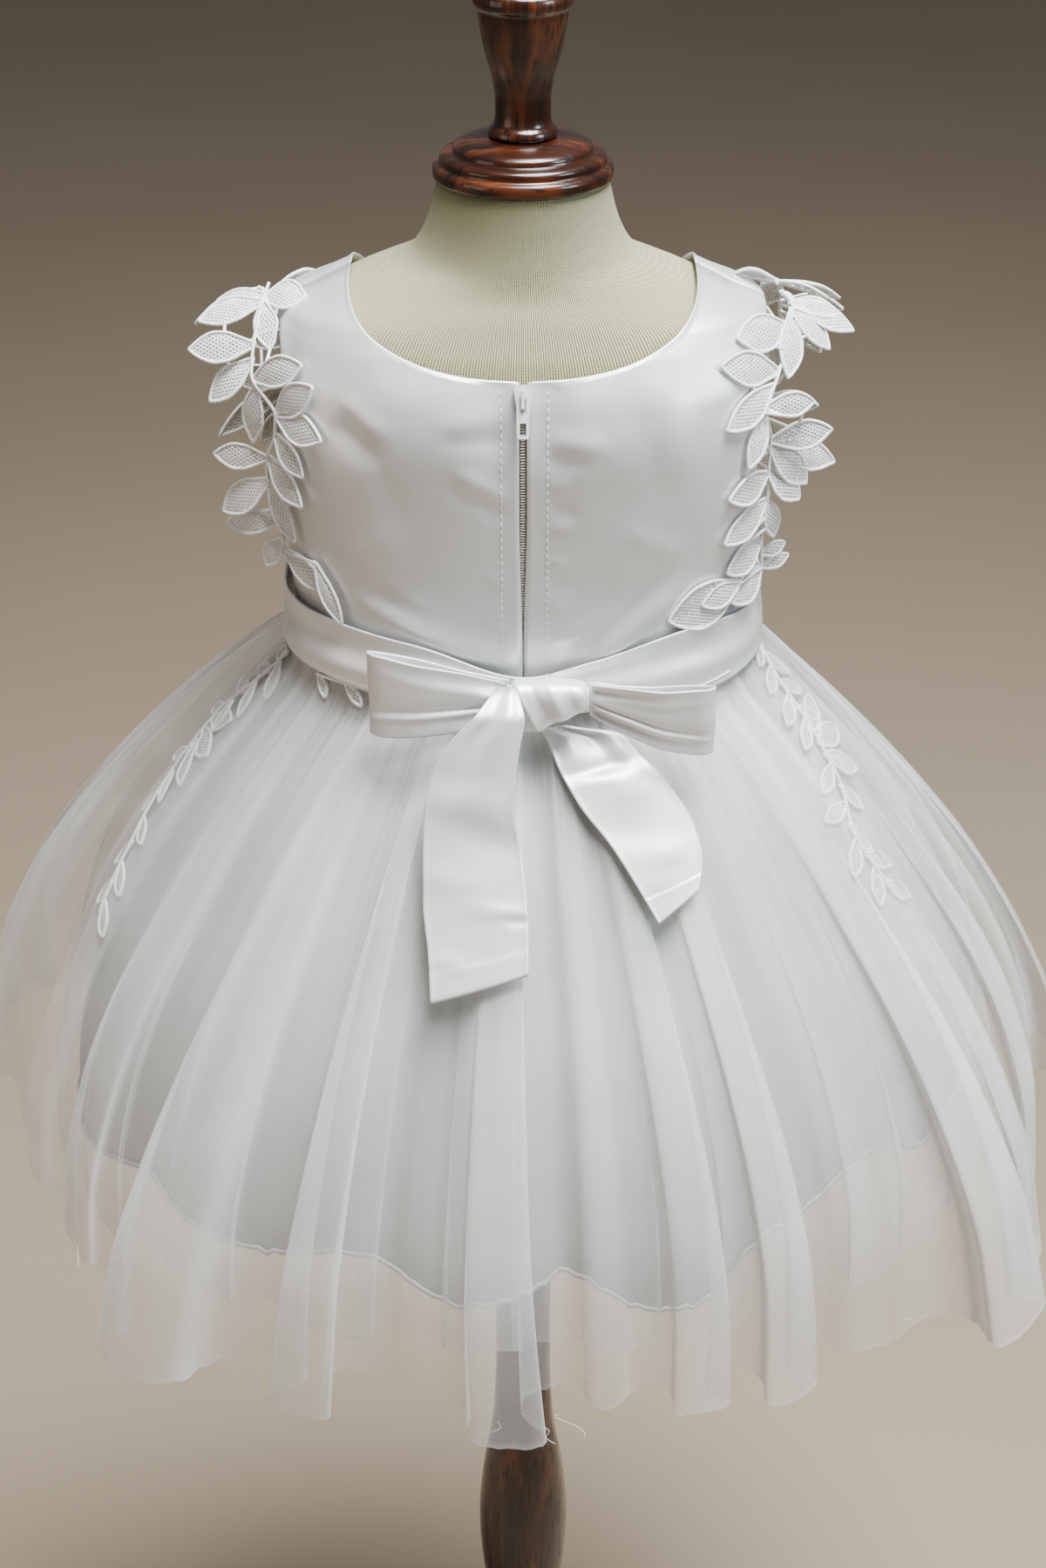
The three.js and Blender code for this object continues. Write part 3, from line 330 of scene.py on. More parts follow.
def paint(tree, shader, factor, low, high):
    # a base colour that runs from low to high
    tree.links.new(mixColours(tree, factor, low, high), shader.inputs["Base Color"])


def noiseNode(tree, vector, scale, detail, **inputs):
    # an uneven value from 0 to 1
    inputs = {"Vector": vector, "Scale": scale, "Detail": detail, **inputs}
    return addNode(tree, "ShaderNodeTexNoise", inputs).outputs["Fac"]


def objectPlace(tree):
    return addNode(tree, "ShaderNodeTexCoord").outputs["Object"]


def clothPlace(tree):
    return addNode(tree, "ShaderNodeUVMap", uv_map="cut").outputs[0]


def bumpFrom(tree, shader, height, strength, distance):
    inputs = {"Height": height, "Strength": strength, "Distance": distance}
    bump = addNode(tree, "ShaderNodeBump", inputs)
    tree.links.new(bump.outputs["Normal"], shader.inputs["Normal"])


def newMaterial(name, **sockets):
    material = bpy.data.materials.new(name)
    material.use_nodes = True
    tree = material.node_tree
    shader = tree.nodes["Principled BSDF"]
    for key, value in sockets.items():
        shader.inputs[key.replace("_", " ")].default_value = value
    return material, tree, shader


# Camera, lights and floor.
cameraSet = {"place": (0, -0.874, 1.228), "lookDown": 30, "lens": 54.1, "sensor": 36, "near": 0.01}
lightSet = {
    "ceiling": {"place": (0.35, -0.26, 2.5), "size": 0.9, "power": 80, "tint": (0.96, 0.985, 1)},
    "window": {"place": (1.7, -0.9, 1.6), "size": 0.7, "power": 16, "tint": (0.8, 0.91, 1)},
    "room": {"place": (-1.8, -0.9, 1.1), "size": 1.1, "power": 5, "tint": (1, 0.84, 0.68)},
}
lightAim = (0, 0, 0.72)
worldTint = {"colour": (0.96, 0.96, 0.97, 1), "strength": 0.16}
floorSet = {"pale": (0.5, 0.41, 0.31, 1), "deep": (0.43, 0.345, 0.255, 1), "half": 6,
            "roughness": 0.7, "blotch": 1.2, "below": 0.0005}
clearLayers = 40  # how many see-through surfaces a ray may pass


def makeStudio():
    camera = bpy.data.objects.new("camera", bpy.data.cameras.new("camera"))
    camera.data.lens = cameraSet["lens"]
    camera.data.sensor_width = cameraSet["sensor"]
    camera.location = cameraSet["place"]
    camera.rotation_euler = (math.radians(90 - cameraSet["lookDown"]), 0, 0)
    camera.data.clip_start = cameraSet["near"]
    bpy.context.scene.collection.objects.link(camera)
    bpy.context.scene.camera = camera
    for name, light in lightSet.items():
        lamp = bpy.data.objects.new(name, bpy.data.lights.new(name, "AREA"))
        lamp.data.size = light["size"]
        lamp.data.energy = light["power"]
        lamp.data.color = light["tint"]
        lamp.location = light["place"]
        away = np.array(light["place"]) - np.array(lightAim)
        lamp.rotation_euler = (math.atan2(math.hypot(*away[:2]), away[2]), 0,
                               math.atan2(away[0], -away[1]))
        bpy.context.scene.collection.objects.link(lamp)
    world = bpy.data.worlds.new("room light")
    world.use_nodes = True
    backdrop = world.node_tree.nodes["Background"]
    backdrop.inputs["Color"].default_value = worldTint["colour"]
    backdrop.inputs["Strength"].default_value = worldTint["strength"]
    bpy.context.scene.world = world
    bpy.context.scene.cycles.transparent_max_bounces = clearLayers
    bpy.context.scene.view_settings.look = "AgX - Medium High Contrast"

    material, tree, shader = newMaterial("plain floor", Roughness=floorSet["roughness"])
    blotch = noiseNode(tree, objectPlace(tree), floorSet["blotch"], 3)
    paint(tree, shader, blotch, floorSet["pale"], floorSet["deep"])
    half = floorSet["half"]
    mesh = bpy.data.meshes.new("floor")
    corners = [(-half, -half, 0), (half, -half, 0), (half, 2 * half, 0), (-half, 2 * half, 0)]
    mesh.from_pydata(corners, [], [(0, 1, 2, 3)])
    floor = meshObject("floor", mesh, [material])
    floor.location.z = -floorSet["below"]
    floor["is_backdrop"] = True


makeStudio()
print("studio ready")


# Surface effects that several finishes share: how they stretch, and how strong they are.
weaveSet = {"runs": ((0.16, 1, 1), (1, 0.22, 1)), "warp": 0.7, "tone": 0.03}
netSet = {"slopes": (0.6, -0.6), "soft": 1.5}
# the knit's gap and shade numbers set its painted shade between ribs and on its stitches
knitSet = {"slant": 0.7, "gapFrom": 0.62, "gapGain": 2.6, "round": 2.5, "stitch": 0.16,
           "shade": -0.12}
grainSet = {"wander": 0.8, "fine": 6, "poreFrom": 0.52, "poreGain": 6}


def makeWeaveGroup():
    # fine uneven threads across a cloth, and slow changes of tone over it
    tree, enter, leave = makeGroup(
        "thread weave",
        {"Vector": ("NodeSocketVector", None), "Threads": ("NodeSocketFloat", 3)},
        {"Height": "NodeSocketFloat", "Tone": "NodeSocketFloat"},
    )
    scaled = addNode(tree, "ShaderNodeVectorMath", {0: enter["Vector"]}, operation="SCALE")
    tree.links.new(enter["Threads"], scaled.inputs["Scale"])
    heights = []
    for stretch in weaveSet["runs"]:
        run = addNode(tree, "ShaderNodeVectorMath", {0: scaled.outputs[0], 1: stretch},
                      operation="MULTIPLY")
        heights.append(noiseNode(tree, run.outputs[0], 1, 2))
    warp, weft = heights
    tree.links.new(calc(tree, "MULTIPLY_ADD", warp, weaveSet["warp"], weft), leave["Height"])
    tree.links.new(noiseNode(tree, enter["Vector"], weaveSet["tone"], 2), leave["Tone"])
    return tree


def makeNetGroup():
    # threads crossing in small diamonds: 1 on a thread, 0 in a hole
    tree, enter, leave = makeGroup(
        "open net",
        {"Vector": ("NodeSocketVector", None), "Pitch": ("NodeSocketFloat", 1.1),
         "Thread": ("NodeSocketFloat", 0.2)},
        {"Mask": "NodeSocketFloat"},
    )
    place = addNode(tree, "ShaderNodeSeparateXYZ", {0: enter["Vector"]}).outputs
    masks = []
    for slope in netSet["slopes"]:
        line = calc(tree, "MULTIPLY_ADD", place["Y"], slope, place["X"])
        line = calc(tree, "DIVIDE", line, enter["Pitch"])
        away = calc(tree, "ABSOLUTE", calc(tree, "SUBTRACT", calc(tree, "FRACT", line), 0.5))
        edge = calc(tree, "DIVIDE", away, enter["Thread"])
        masks.append(calc(tree, "SUBTRACT", netSet["soft"], edge, clamp=True))
    tree.links.new(calc(tree, "MAXIMUM", *masks), leave["Mask"])
    return tree


def makeKnitGroup():
    # upright ribs of small slanting stitches, with painted shade in the gaps between ribs and on
    # one side of each stitch
    tree, enter, leave = makeGroup(
        "jersey ribs",
        {"Vector": ("NodeSocketVector", None), "Rib": ("NodeSocketFloat", 1.25),
         "Course": ("NodeSocketFloat", 1)},
        {"Height": "NodeSocketFloat", "PaintedShade": "NodeSocketFloat"},
    )
    place = addNode(tree, "ShaderNodeSeparateXYZ", {0: enter["Vector"]}).outputs
    rib = calc(tree, "FRACT", calc(tree, "DIVIDE", place["X"], enter["Rib"]))
    aside = calc(tree, "MULTIPLY", calc(tree, "ABSOLUTE", calc(tree, "SUBTRACT", rib, 0.5)), 2)
    course = calc(tree, "DIVIDE", place["Y"], enter["Course"])
    slant = calc(tree, "MULTIPLY_ADD", aside, knitSet["slant"], course)
    stitch = calc(tree, "SINE", calc(tree, "MULTIPLY", slant, 2 * math.pi))
    gap = calc(tree, "SUBTRACT", aside, knitSet["gapFrom"], clamp=True)
    gap = calc(tree, "MULTIPLY", gap, knitSet["gapGain"], clamp=True)
    body = calc(tree, "SUBTRACT", 1, calc(tree, "POWER", aside, knitSet["round"]))
    height = calc(tree, "MULTIPLY_ADD", stitch, knitSet["stitch"], body)
    tree.links.new(height, leave["Height"])
    # painted shade: the gaps between ribs and one side of each stitch are darkened
    shade = calc(tree, "MULTIPLY_ADD", stitch, knitSet["shade"], gap, clamp=True)
    tree.links.new(shade, leave["PaintedShade"])
    return tree


def makeGrainGroup():
    # long streaks of timber that run up a turned piece, with fine dark pores
    tree, enter, leave = makeGroup(
        "turned grain",
        {"Vector": ("NodeSocketVector", None), "Stretch": ("NodeSocketVector", (60, 60, 5))},
        {"Streak": "NodeSocketFloat", "Pore": "NodeSocketFloat"},
    )
    run = addNode(tree, "ShaderNodeVectorMath", {0: enter["Vector"], 1: enter["Stretch"]},
                  operation="MULTIPLY").outputs[0]
    streak = noiseNode(tree, run, 1, 4, Distortion=grainSet["wander"])
    tree.links.new(streak, leave["Streak"])
    pore = noiseNode(tree, run, grainSet["fine"], 2)
    pore = calc(tree, "SUBTRACT", pore, grainSet["poreFrom"], clamp=True)
    pore = calc(tree, "MULTIPLY", pore, grainSet["poreGain"], clamp=True)
    tree.links.new(pore, leave["Pore"])
    return tree


weaveGroup = makeWeaveGroup()
netGroup = makeNetGroup()
knitGroup = makeKnitGroup()
grainGroup = makeGrainGroup()


# Finishes. The depth of a relief is in metres.
satinWeave = {"sheenRoughness": 0.4, "uneven": 0.1, "smoother": 0.08, "relief": 0.0002}


def makeSatin(name, look):
    sheen = {"Sheen_Weight": look["sheen"], "Sheen_Roughness": satinWeave["sheenRoughness"]}
    material, tree, shader = newMaterial(name, Roughness=look["roughness"],
                                         Metallic=look["lustre"], **sheen)
    weave = useGroup(tree, weaveGroup, {"Vector": clothPlace(tree), "Threads": look["threads"]})
    paint(tree, shader, weave["Tone"], look["shade"], look["colour"])
    least = look["roughness"] - satinWeave["smoother"]
    rough = calc(tree, "MULTIPLY_ADD", weave["Height"], satinWeave["uneven"], least)
    tree.links.new(rough, shader.inputs["Roughness"])
    bumpFrom(tree, shader, weave["Height"], look["bump"], satinWeave["relief"])
    return material


# Satin mirrors the room softly: lustre is how far it does, threads how many run in a millimetre.
satinLooks = {
    # The bodice satin is painted greyer than the ribbon satin: painted shade for the dimmer light
    # on the bodice.
    "bodice satin in painted shade": {"colour": (0.82, 0.83, 0.83, 1), "shade": (0.75, 0.75, 0.745, 1),
                     "lustre": 0.42, "roughness": 0.4, "sheen": 0.04, "threads": 2.2, "bump": 0.16},
    "ribbon satin": {"colour": (0.92, 0.925, 0.925, 1), "shade": (0.87, 0.87, 0.86, 1),
                     "lustre": 0.3, "roughness": 0.4, "sheen": 0.04, "threads": 2.2, "bump": 0.14},
    # The lining's white satin is painted grey: painted shade for the shade it lies in under the two
    # tulle layers.
    "lining satin in painted shade": {"colour": (0.56, 0.555, 0.535, 1), "shade": (0.5, 0.49, 0.465, 1),
                     "lustre": 0.1, "roughness": 0.5, "sheen": 0.1, "threads": 1.8, "bump": 0.15},
}
bodiceSatinInShade, ribbonSatin, liningSatinInShade = (makeSatin(*item) for item in satinLooks.items())

# The net's pitch in millimetres and its thread as a share of it, how much its holes and threads
# cover, and how cloudy it is.
tulleLook = {"colour": (0.86, 0.87, 0.87, 1), "shade": (0.82, 0.82, 0.81, 1), "pitch": 1.1,
             "thread": 0.2, "threads": 0.5, "open": 0.72, "gain": 0.5, "cloud": 0.3,
             "clear": 0.85, "bump": 0.2, "relief": 0.0002}


def makeTulle():
    # a lone see-through shader: the density mark says how much cloth a place holds
    look = tulleLook
    material, tree, shader = newMaterial("tulle net", Roughness=0.75, Sheen_Weight=0.35,
                                         Sheen_Roughness=0.5)
    place = clothPlace(tree)
    weave = useGroup(tree, weaveGroup, {"Vector": place, "Threads": look["threads"]})
    mesh = {"Vector": place, "Pitch": look["pitch"], "Thread": look["thread"]}
    net = useGroup(tree, netGroup, mesh)
    density = addNode(tree, "ShaderNodeAttribute", attribute_name="clothCover").outputs["Fac"]
    woven = calc(tree, "MULTIPLY_ADD", net["Mask"], look["gain"], look["open"])
    cloudy = calc(tree, "MULTIPLY_ADD", weave["Tone"], look["cloud"], look["clear"])
    alpha = calc(tree, "MULTIPLY", calc(tree, "MULTIPLY", density, woven), cloudy, clamp=True)
    tree.links.new(alpha, shader.inputs["Alpha"])
    paint(tree, shader, weave["Tone"], look["shade"], look["colour"])
    bumpFrom(tree, shader, net["Mask"], look["bump"], look["relief"])
    return material


# The net inside the leaves: its painted shade in the holes between threads, its threads, and how
# full they make it.
laceLook = {"shade": (0.56, 0.55, 0.54, 1), "colour": (0.86, 0.86, 0.85, 1), "pitch": 1.5,
            "thread": 0.25, "threads": 1.6, "filling": 1.6, "net": 0.8, "bump": 0.6,
            "relief": 0.0004}
cordLook = {"shade": (0.86, 0.855, 0.845, 1), "colour": (0.95, 0.95, 0.945, 1), "threads": 1600,
            "bump": 0.4, "relief": 0.0003}


def makeLaceNet(name, fill):
    # the thread-filled inside of a leaf, open between its threads
    look = laceLook
    material, tree, shader = newMaterial(name, Roughness=0.7, Sheen_Weight=0.2)
    place = clothPlace(tree)
    mesh = {"Vector": place, "Pitch": look["pitch"], "Thread": look["thread"]}
    net = useGroup(tree, netGroup, mesh)
    weave = useGroup(tree, weaveGroup, {"Vector": place, "Threads": look["threads"]})
    filled = calc(tree, "MULTIPLY_ADD", weave["Height"], look["filling"], fill)
    alpha = calc(tree, "MULTIPLY_ADD", net["Mask"], look["net"], filled, clamp=True)
    tree.links.new(alpha, shader.inputs["Alpha"])
    # the holes between threads take the shade colour: painted shade seen through the net
    paint(tree, shader, net["Mask"], look["shade"], look["colour"])
    bumpFrom(tree, shader, net["Mask"], look["bump"], look["relief"])
    return material


def makeLaceCord():
    material, tree, shader = newMaterial("lace cord", Roughness=0.6, Sheen_Weight=0.25)
    thread = noiseNode(tree, objectPlace(tree), cordLook["threads"], 2)
    paint(tree, shader, thread, cordLook["shade"], cordLook["colour"])
    bumpFrom(tree, shader, thread, cordLook["bump"], cordLook["relief"])
    return material


# The knit's ribs and courses are in millimetres, and gap is the colour of the painted shade between
# its ribs.
jerseyLook = {"cream": (0.56, 0.54, 0.34, 1), "gap": (0.22, 0.2, 0.11, 1), "rib": 1.3,
              "course": 1.1, "bump": 0.9, "relief": 0.0006}


def makeJersey():
    look = jerseyLook
    material, tree, shader = newMaterial("cream jersey", Roughness=0.95, Sheen_Weight=0.15)
    knitted = {"Vector": clothPlace(tree), "Rib": look["rib"], "Course": look["course"]}
    knit = useGroup(tree, knitGroup, knitted)
    # the cream darkens towards the gap colour where the knit's painted shade falls
    paint(tree, shader, knit["PaintedShade"], look["cream"], look["gap"])
    bumpFrom(tree, shader, knit["Height"], look["bump"], look["relief"])
    return material


# Stained timber: its colours from the dark streaks to the pale ones, and in the pores.
woodLook = {"stops": [(0.32, (0.012, 0.004, 0.002, 1)), (0.5, (0.045, 0.013, 0.006, 1)),
                      (0.66, (0.15, 0.045, 0.02, 1))], "pore": (0.006, 0.002, 0.001, 1),
            "roughness": 0.3, "poreRoughness": 0.2, "varnish": 0.7, "varnishRoughness": 0.12,
            "bump": 0.15, "relief": 0.0004}


def makeWood(name, stretch):
    look = woodLook
    material, tree, shader = newMaterial(name, Coat_Weight=look["varnish"],
                                         Coat_Roughness=look["varnishRoughness"])
    grain = useGroup(tree, grainGroup, {"Vector": objectPlace(tree), "Stretch": stretch})
    streaks = addNode(tree, "ShaderNodeValToRGB", {"Fac": grain["Streak"]})
    ramp = streaks.color_ramp.elements
    for i, (at, colour) in enumerate(look["stops"]):
        stop = ramp[i] if i < 2 else ramp.new(at)
        stop.position, stop.color = at, colour
    paint(tree, shader, grain["Pore"], streaks.outputs["Color"], look["pore"])
    rough = calc(tree, "MULTIPLY_ADD", grain["Pore"], look["poreRoughness"], look["roughness"])
    tree.links.new(rough, shader.inputs["Roughness"])
    level = calc(tree, "SUBTRACT", 1, grain["Pore"])
    bumpFrom(tree, shader, level, look["bump"], look["relief"])
    return material


# Moulded and enamelled parts: one colour with a faint mottle, so many spots to a metre.
plainLooks = {
    "white zip enamel": {"low": (0.72, 0.73, 0.74, 1), "high": (0.85, 0.86, 0.87, 1),
                         "spots": 500, "bump": 0.1},
    "zip coil nylon": {"low": (0.68, 0.65, 0.58, 1), "high": (0.78, 0.76, 0.7, 1),
                       "spots": 900, "bump": 0.2},
    "sewing thread": {"low": (0.82, 0.82, 0.82, 1), "high": (0.9, 0.9, 0.9, 1),
                      "spots": 2500, "bump": 0.3},
}
plainRelief = 0.0001


def makePlain(name, **sockets):
    look = plainLooks[name]
    material, tree, shader = newMaterial(name, **sockets)
    mottle = noiseNode(tree, objectPlace(tree), look["spots"], 3)
    paint(tree, shader, mottle, look["low"], look["high"])
    bumpFrom(tree, shader, mottle, look["bump"], plainRelief)
    return material


tulleNet = makeTulle()
laceNet = makeLaceNet("lace filling", -1)
openNet = makeLaceNet("open lace filling", -1.2)
laceCord = makeLaceCord()
creamJersey = makeJersey()
uprightWood = makeWood("dark turned wood", (75, 75, 7))
crossWood = makeWood("dark turned wood across", (9, 75, 75))
enamel = makePlain("white zip enamel", Roughness=0.25, Coat_Weight=0.5, Metallic=0.1)
coilNylon = makePlain("zip coil nylon", Roughness=0.4)
sewingThread = makePlain("sewing thread", Roughness=0.6)
print("finishes ready")


# Node trees that grow repeated parts along a path.
def plainOut(tree, leave, geometry, material):
    # every tree ends in plain, smooth mesh with its finish on it
    smooth = addNode(tree, "GeometryNodeSetShadeSmooth", {"Geometry": geometry}).outputs[0]
    real = addNode(tree, "GeometryNodeRealizeInstances", {"Geometry": smooth}).outputs[0]
    final = addNode(tree, "GeometryNodeSetMaterial", {"Geometry": real, "Material": material})
    tree.links.new(final.outputs[0], leave["Geometry"])


def makeCordTree():
    # a round cord whose thickness swells at every other ring, like satin stitch over a cord
    tree, enter, leave = makeGroup(
        "beaded cord",
        {"Path": ("NodeSocketGeometry", None), "Bead": ("NodeSocketFloat", 0.0005),
         "Radius": ("NodeSocketFloat", 0.0006), "Swell": ("NodeSocketFloat", 0.2),
         "Sides": ("NodeSocketInt", 6), "Material": ("NodeSocketMaterial", None)},
        {"Geometry": "NodeSocketGeometry"}, "GeometryNodeTree",
    )
    curve = addNode(tree, "GeometryNodeMeshToCurve", {0: enter["Path"]}).outputs[0]
    even = addNode(tree, "GeometryNodeResampleCurve", {"Curve": curve, "Length": enter["Bead"]},
                   mode="LENGTH").outputs[0]
    index = addNode(tree, "GeometryNodeInputIndex").outputs[0]
    turn = calc(tree, "MODULO", index, 2)
    size = calc(tree, "MULTIPLY_ADD", turn, enter["Swell"], 1)
    sized = addNode(tree, "GeometryNodeSetCurveRadius", {"Curve": even, "Radius": size}).outputs[0]
    ring = addNode(tree, "GeometryNodeCurvePrimitiveCircle",
                   {"Resolution": enter["Sides"], "Radius": enter["Radius"]}).outputs[0]
    solid = addNode(tree, "GeometryNodeCurveToMesh",
                    {"Curve": sized, "Profile Curve": ring, "Fill Caps": True}).outputs[0]
    plainOut(tree, leave, solid, enter["Material"])
    return tree


def makeRepeatTree():
    # one small rounded bar at every step along a path, lying along it
    tree, enter, leave = makeGroup(
        "bars along a path",
        {"Path": ("NodeSocketGeometry", None), "Pitch": ("NodeSocketFloat", 0.003),
         "Size": ("NodeSocketVector", (0.002, 0.0004, 0.0004)),
         "Material": ("NodeSocketMaterial", None)},
        {"Geometry": "NodeSocketGeometry"}, "GeometryNodeTree",
    )
    curve = addNode(tree, "GeometryNodeMeshToCurve", {0: enter["Path"]}).outputs[0]
    even = addNode(tree, "GeometryNodeResampleCurve", {"Curve": curve, "Length": enter["Pitch"]},
                   mode="LENGTH").outputs[0]
    tangent = addNode(tree, "GeometryNodeInputTangent").outputs[0]
    turned = addNode(tree, "FunctionNodeAlignRotationToVector", {"Vector": tangent},
                     axis="X").outputs[0]
    bar = addNode(tree, "GeometryNodeMeshUVSphere",
                  {"Segments": 8, "Rings": 5, "Radius": 0.5}).outputs[0]
    placed = addNode(tree, "GeometryNodeInstanceOnPoints",
                     {"Points": even, "Instance": bar, "Rotation": turned,
                      "Scale": enter["Size"]}).outputs[0]
    plainOut(tree, leave, placed, enter["Material"])
    return tree


cordTree = makeCordTree()
repeatTree = makeRepeatTree()


def grow(name, paths, tree, values, closed=False):
    # runs a node tree over bare paths and keeps only the plain mesh that it makes
    seed = meshObject(name + ".path", wireMesh(name + ".path", paths, closed), [])
    growth = seed.modifiers.new("growth", "NODES")
    growth.node_group = tree
    for socket in tree.interface.items_tree:
        if socket.item_type == "SOCKET" and socket.in_out == "INPUT" and socket.name in values:
            growth[socket.identifier] = values[socket.name]
    ready = seed.evaluated_get(bpy.context.evaluated_depsgraph_get())
    mesh = bpy.data.meshes.new_from_object(ready)
    mesh.name = name
    seed.modifiers.remove(growth)
    bare = seed.data
    bpy.data.objects.remove(seed)
    bpy.data.meshes.remove(bare)
    return mesh


def joinMeshes(name, parts):
    # one mesh from several, each keeping its own finish
    whole = bmesh.new()
    materials = []
    for mesh in parts:
        first = len(whole.faces)
        whole.from_mesh(mesh)
        whole.faces.ensure_lookup_table()
        if mesh.materials[0] not in materials:
            materials.append(mesh.materials[0])
        for face in whole.faces[first:]:
            face.material_index = materials.index(mesh.materials[0])
    joined = bpy.data.meshes.new(name)
    whole.to_mesh(joined)
    whole.free()
    return meshObject(name, joined, materials)


# The dress form and its stand.
# The body under the satin, and the knitted form: half width, depth to the back and front, and
# how square each level is.
bodyRadius = ovalRadius(table("z side back front power", [
    (-30, 91, 67, 66, 2.4),
    (0, 91, 67, 66, 2.4),
    (30, 92.5, 68, 67, 2.5),
    (80, 95, 67, 69, 2.8),
    (105, 95, 62.5, 67, 2.8),
    (120, 94, 56.5, 61, 2.6),
    (128, 91.5, 52, 55, 2.4),
    (134, 79, 48, 50, 2.3),
    (141, 65, 42, 44, 2.1),
    (149, 41, 37.5, 38.5, 2),
]))
formRadius = ovalRadius(table("z side back front power", [
    (-95, 84, 66, 66, 2.3),
    (-88, 88, 70, 70, 2.3),
    (-50, 88, 69, 68, 2.3),
    (0, 84, 63, 62, 2.3),
    (30, 85, 64, 64, 2.4),
    (80, 86, 63.5, 66, 2.6),
    (105, 87, 59.5, 64, 2.6),
    (120, 88, 54.5, 58.5, 2.5),
    (127, 88.5, 50, 53, 2.4),
    (133, 76.5, 46, 48, 2.3),
    (140, 62.5, 40, 42, 2.1),
    (148, 43, 37, 38, 2),
    (160, 36, 34, 34, 2),
    (175, 32, 32, 32, 2),
]))
formSet = {"foot": -95, "top": 175, "columns": 132, "rows": 100, "closing": (0, 0.4, 0.8, 0.97),
           "girth": 74}


def bodyAt(turn, z):
    return aroundAxis(bodyRadius(turn, z), turn, z)


def makeForm():
    turns = np.arange(formSet["columns"])[:, None] * 360 / formSet["columns"]
    z = np.linspace(formSet["foot"], formSet["top"], formSet["rows"])[None, :]
    side = aroundAxis(formRadius(turns, z), turns, z)
    caps = []
    for level in (formSet["foot"], formSet["top"]):
        ring = aroundAxis(formRadius(turns, level), turns, np.array([[level]]))
        middle = np.array([0, 0, waist + level])
        shares = formSet["closing"] if level < 0 else formSet["closing"][::-1]
        caps += [middle + (ring - middle) * share for share in shares]
    low, high = caps[:len(caps) // 2], caps[len(caps) // 2:]
    points = np.concatenate([*low, side, *high], axis=1)
    # the knit runs straight up, at the scale of the form's mean radius
    columns = np.arange(formSet["columns"] + 1)
    around = columns * 2 * math.pi * formSet["girth"] / formSet["columns"]
    uv = np.stack(np.meshgrid(around, runningTotal(stepsAlong(points[0], 0)), indexing="ij"), -1)
    mesh = gridMesh("jerseyForm", points, uv=uv, closed=True)
    closeMesh(mesh)
    settle(meshObject("jerseyForm", mesh, [creamJersey]), "form_knit", "form_torso")


# Each turned piece's outline: radius and height, from its foot up.
turnedParts = {
    "turnedBase": {"node": "stand_base", "lift": 0, "wood": crossWood, "outline": [
        (0, 0), (143, 0), (144.4, 0.6), (145, 2), (145, 8), (144.6, 10.4), (143.6, 12.4),
        (141.4, 14.6), (137, 16), (100, 16.4), (62, 17), (44, 19.5), (34, 22), (0, 22)]},
    "turnedColumn": {"node": "stand_column", "lift": 0, "wood": uprightWood, "outline": [
        (0, 22.3), (24, 22.3), (24.4, 28), (24, 34), (17.4, 41), (15, 50), (14, 60), (14.4, 78),
        (16, 95), (20.4, 104), (21.4, 110), (20.4, 116), (15, 124), (13.8, 140), (14, 160),
        (15.2, 190), (17, 215), (19.6, 242), (21.5, 262), (22.5, 282), (22.3, 296), (20, 322),
        (17, 342), (15.5, 352),
        (13.9, 378), (13.5, 400), (13.5, 520), (13.5, 640), (17.6, 650), (18.4, 659), (17.6, 667),
        (14, 672), (14, 690), (34, 702), (34, 714.7), (0, 714.7)]},
    "neckFlange": {"node": "neck_cap_flange", "lift": waist, "wood": crossWood, "outline": [
        (0, 175.3), (33, 175.3), (33.8, 176.4), (33.8, 178.6), (33, 180.2), (31.4, 180.9),
        (31.2, 181.6), (31.2, 182.8), (30.4, 184), (28.6, 184.7), (26.6, 184.9), (26.2, 185.6),
        (26, 186.6), (25, 187.7), (22.6, 188.7), (19, 189.5), (15, 190), (0, 190.2)]},
    "neckPost": {"node": "neck_cap_post", "lift": waist, "wood": uprightWood, "outline": [
        (0, 190.5), (12.4, 190.5), (12.9, 191.6), (12.4, 193.4), (10.9, 195), (10.4, 198),
        (10.4, 204), (10.9, 208), (11.6, 212), (13.4, 218), (15.2, 226), (16.4, 233), (16.8, 236),
        (18, 237.2), (18.4, 239.4), (18, 241.6), (16.8, 242.8), (16, 245), (14.5, 249),
        (12, 251.8), (8, 253.4), (0, 253.8)]},
}
latheSet = {"sides": 80, "finer": 3}  # finer: rows between two points of an outline


def makeTurned(name, part):
    outline = np.array(part["outline"], float)
    at = np.arange(len(outline), dtype=float)
    rows = {"at": at, "r": outline[:, 0], "z": outline[:, 1]}
    fine = np.linspace(0, at[-1], (len(at) - 1) * latheSet["finer"] + 1)
    radius, z = smoothCurve(rows, "r", "at")(fine), smoothCurve(rows, "z", "at")(fine)
    turns = np.arange(latheSet["sides"])[:, None] * 360 / latheSet["sides"]
    points = aroundAxis(radius[None, :], turns, z[None, :] + part["lift"] - waist)
    mesh = gridMesh(name, points, closed=True)
    closeMesh(mesh)
    settle(meshObject(name, mesh, [part["wood"]]), "wood_dark", part["node"])


makeForm()
for name, part in turnedParts.items():
    makeTurned(name, part)
print("form and stand ready")


# The bodice: two back panels that meet at the zip, and one front panel.
# The panels' corners and edges in millimetres, how far the armhole bites in, in degrees, and the
# shares of the height at which the back edge turns into the neckline and the side into the armhole.
bodiceSet = {"foot": -6, "underarm": 30, "shoulder": 128, "neckHalf": 65, "neckBack": 116,
             "neckFront": 106, "neckSide": 141, "bite": 23, "biteCurve": 0.8, "neckCorner": 0.62,
             "sideCorner": 0.22, "columns": 74, "rows": 106, "crowding": 0.9, "wall": 0.7,
             "creasing": 1.3}
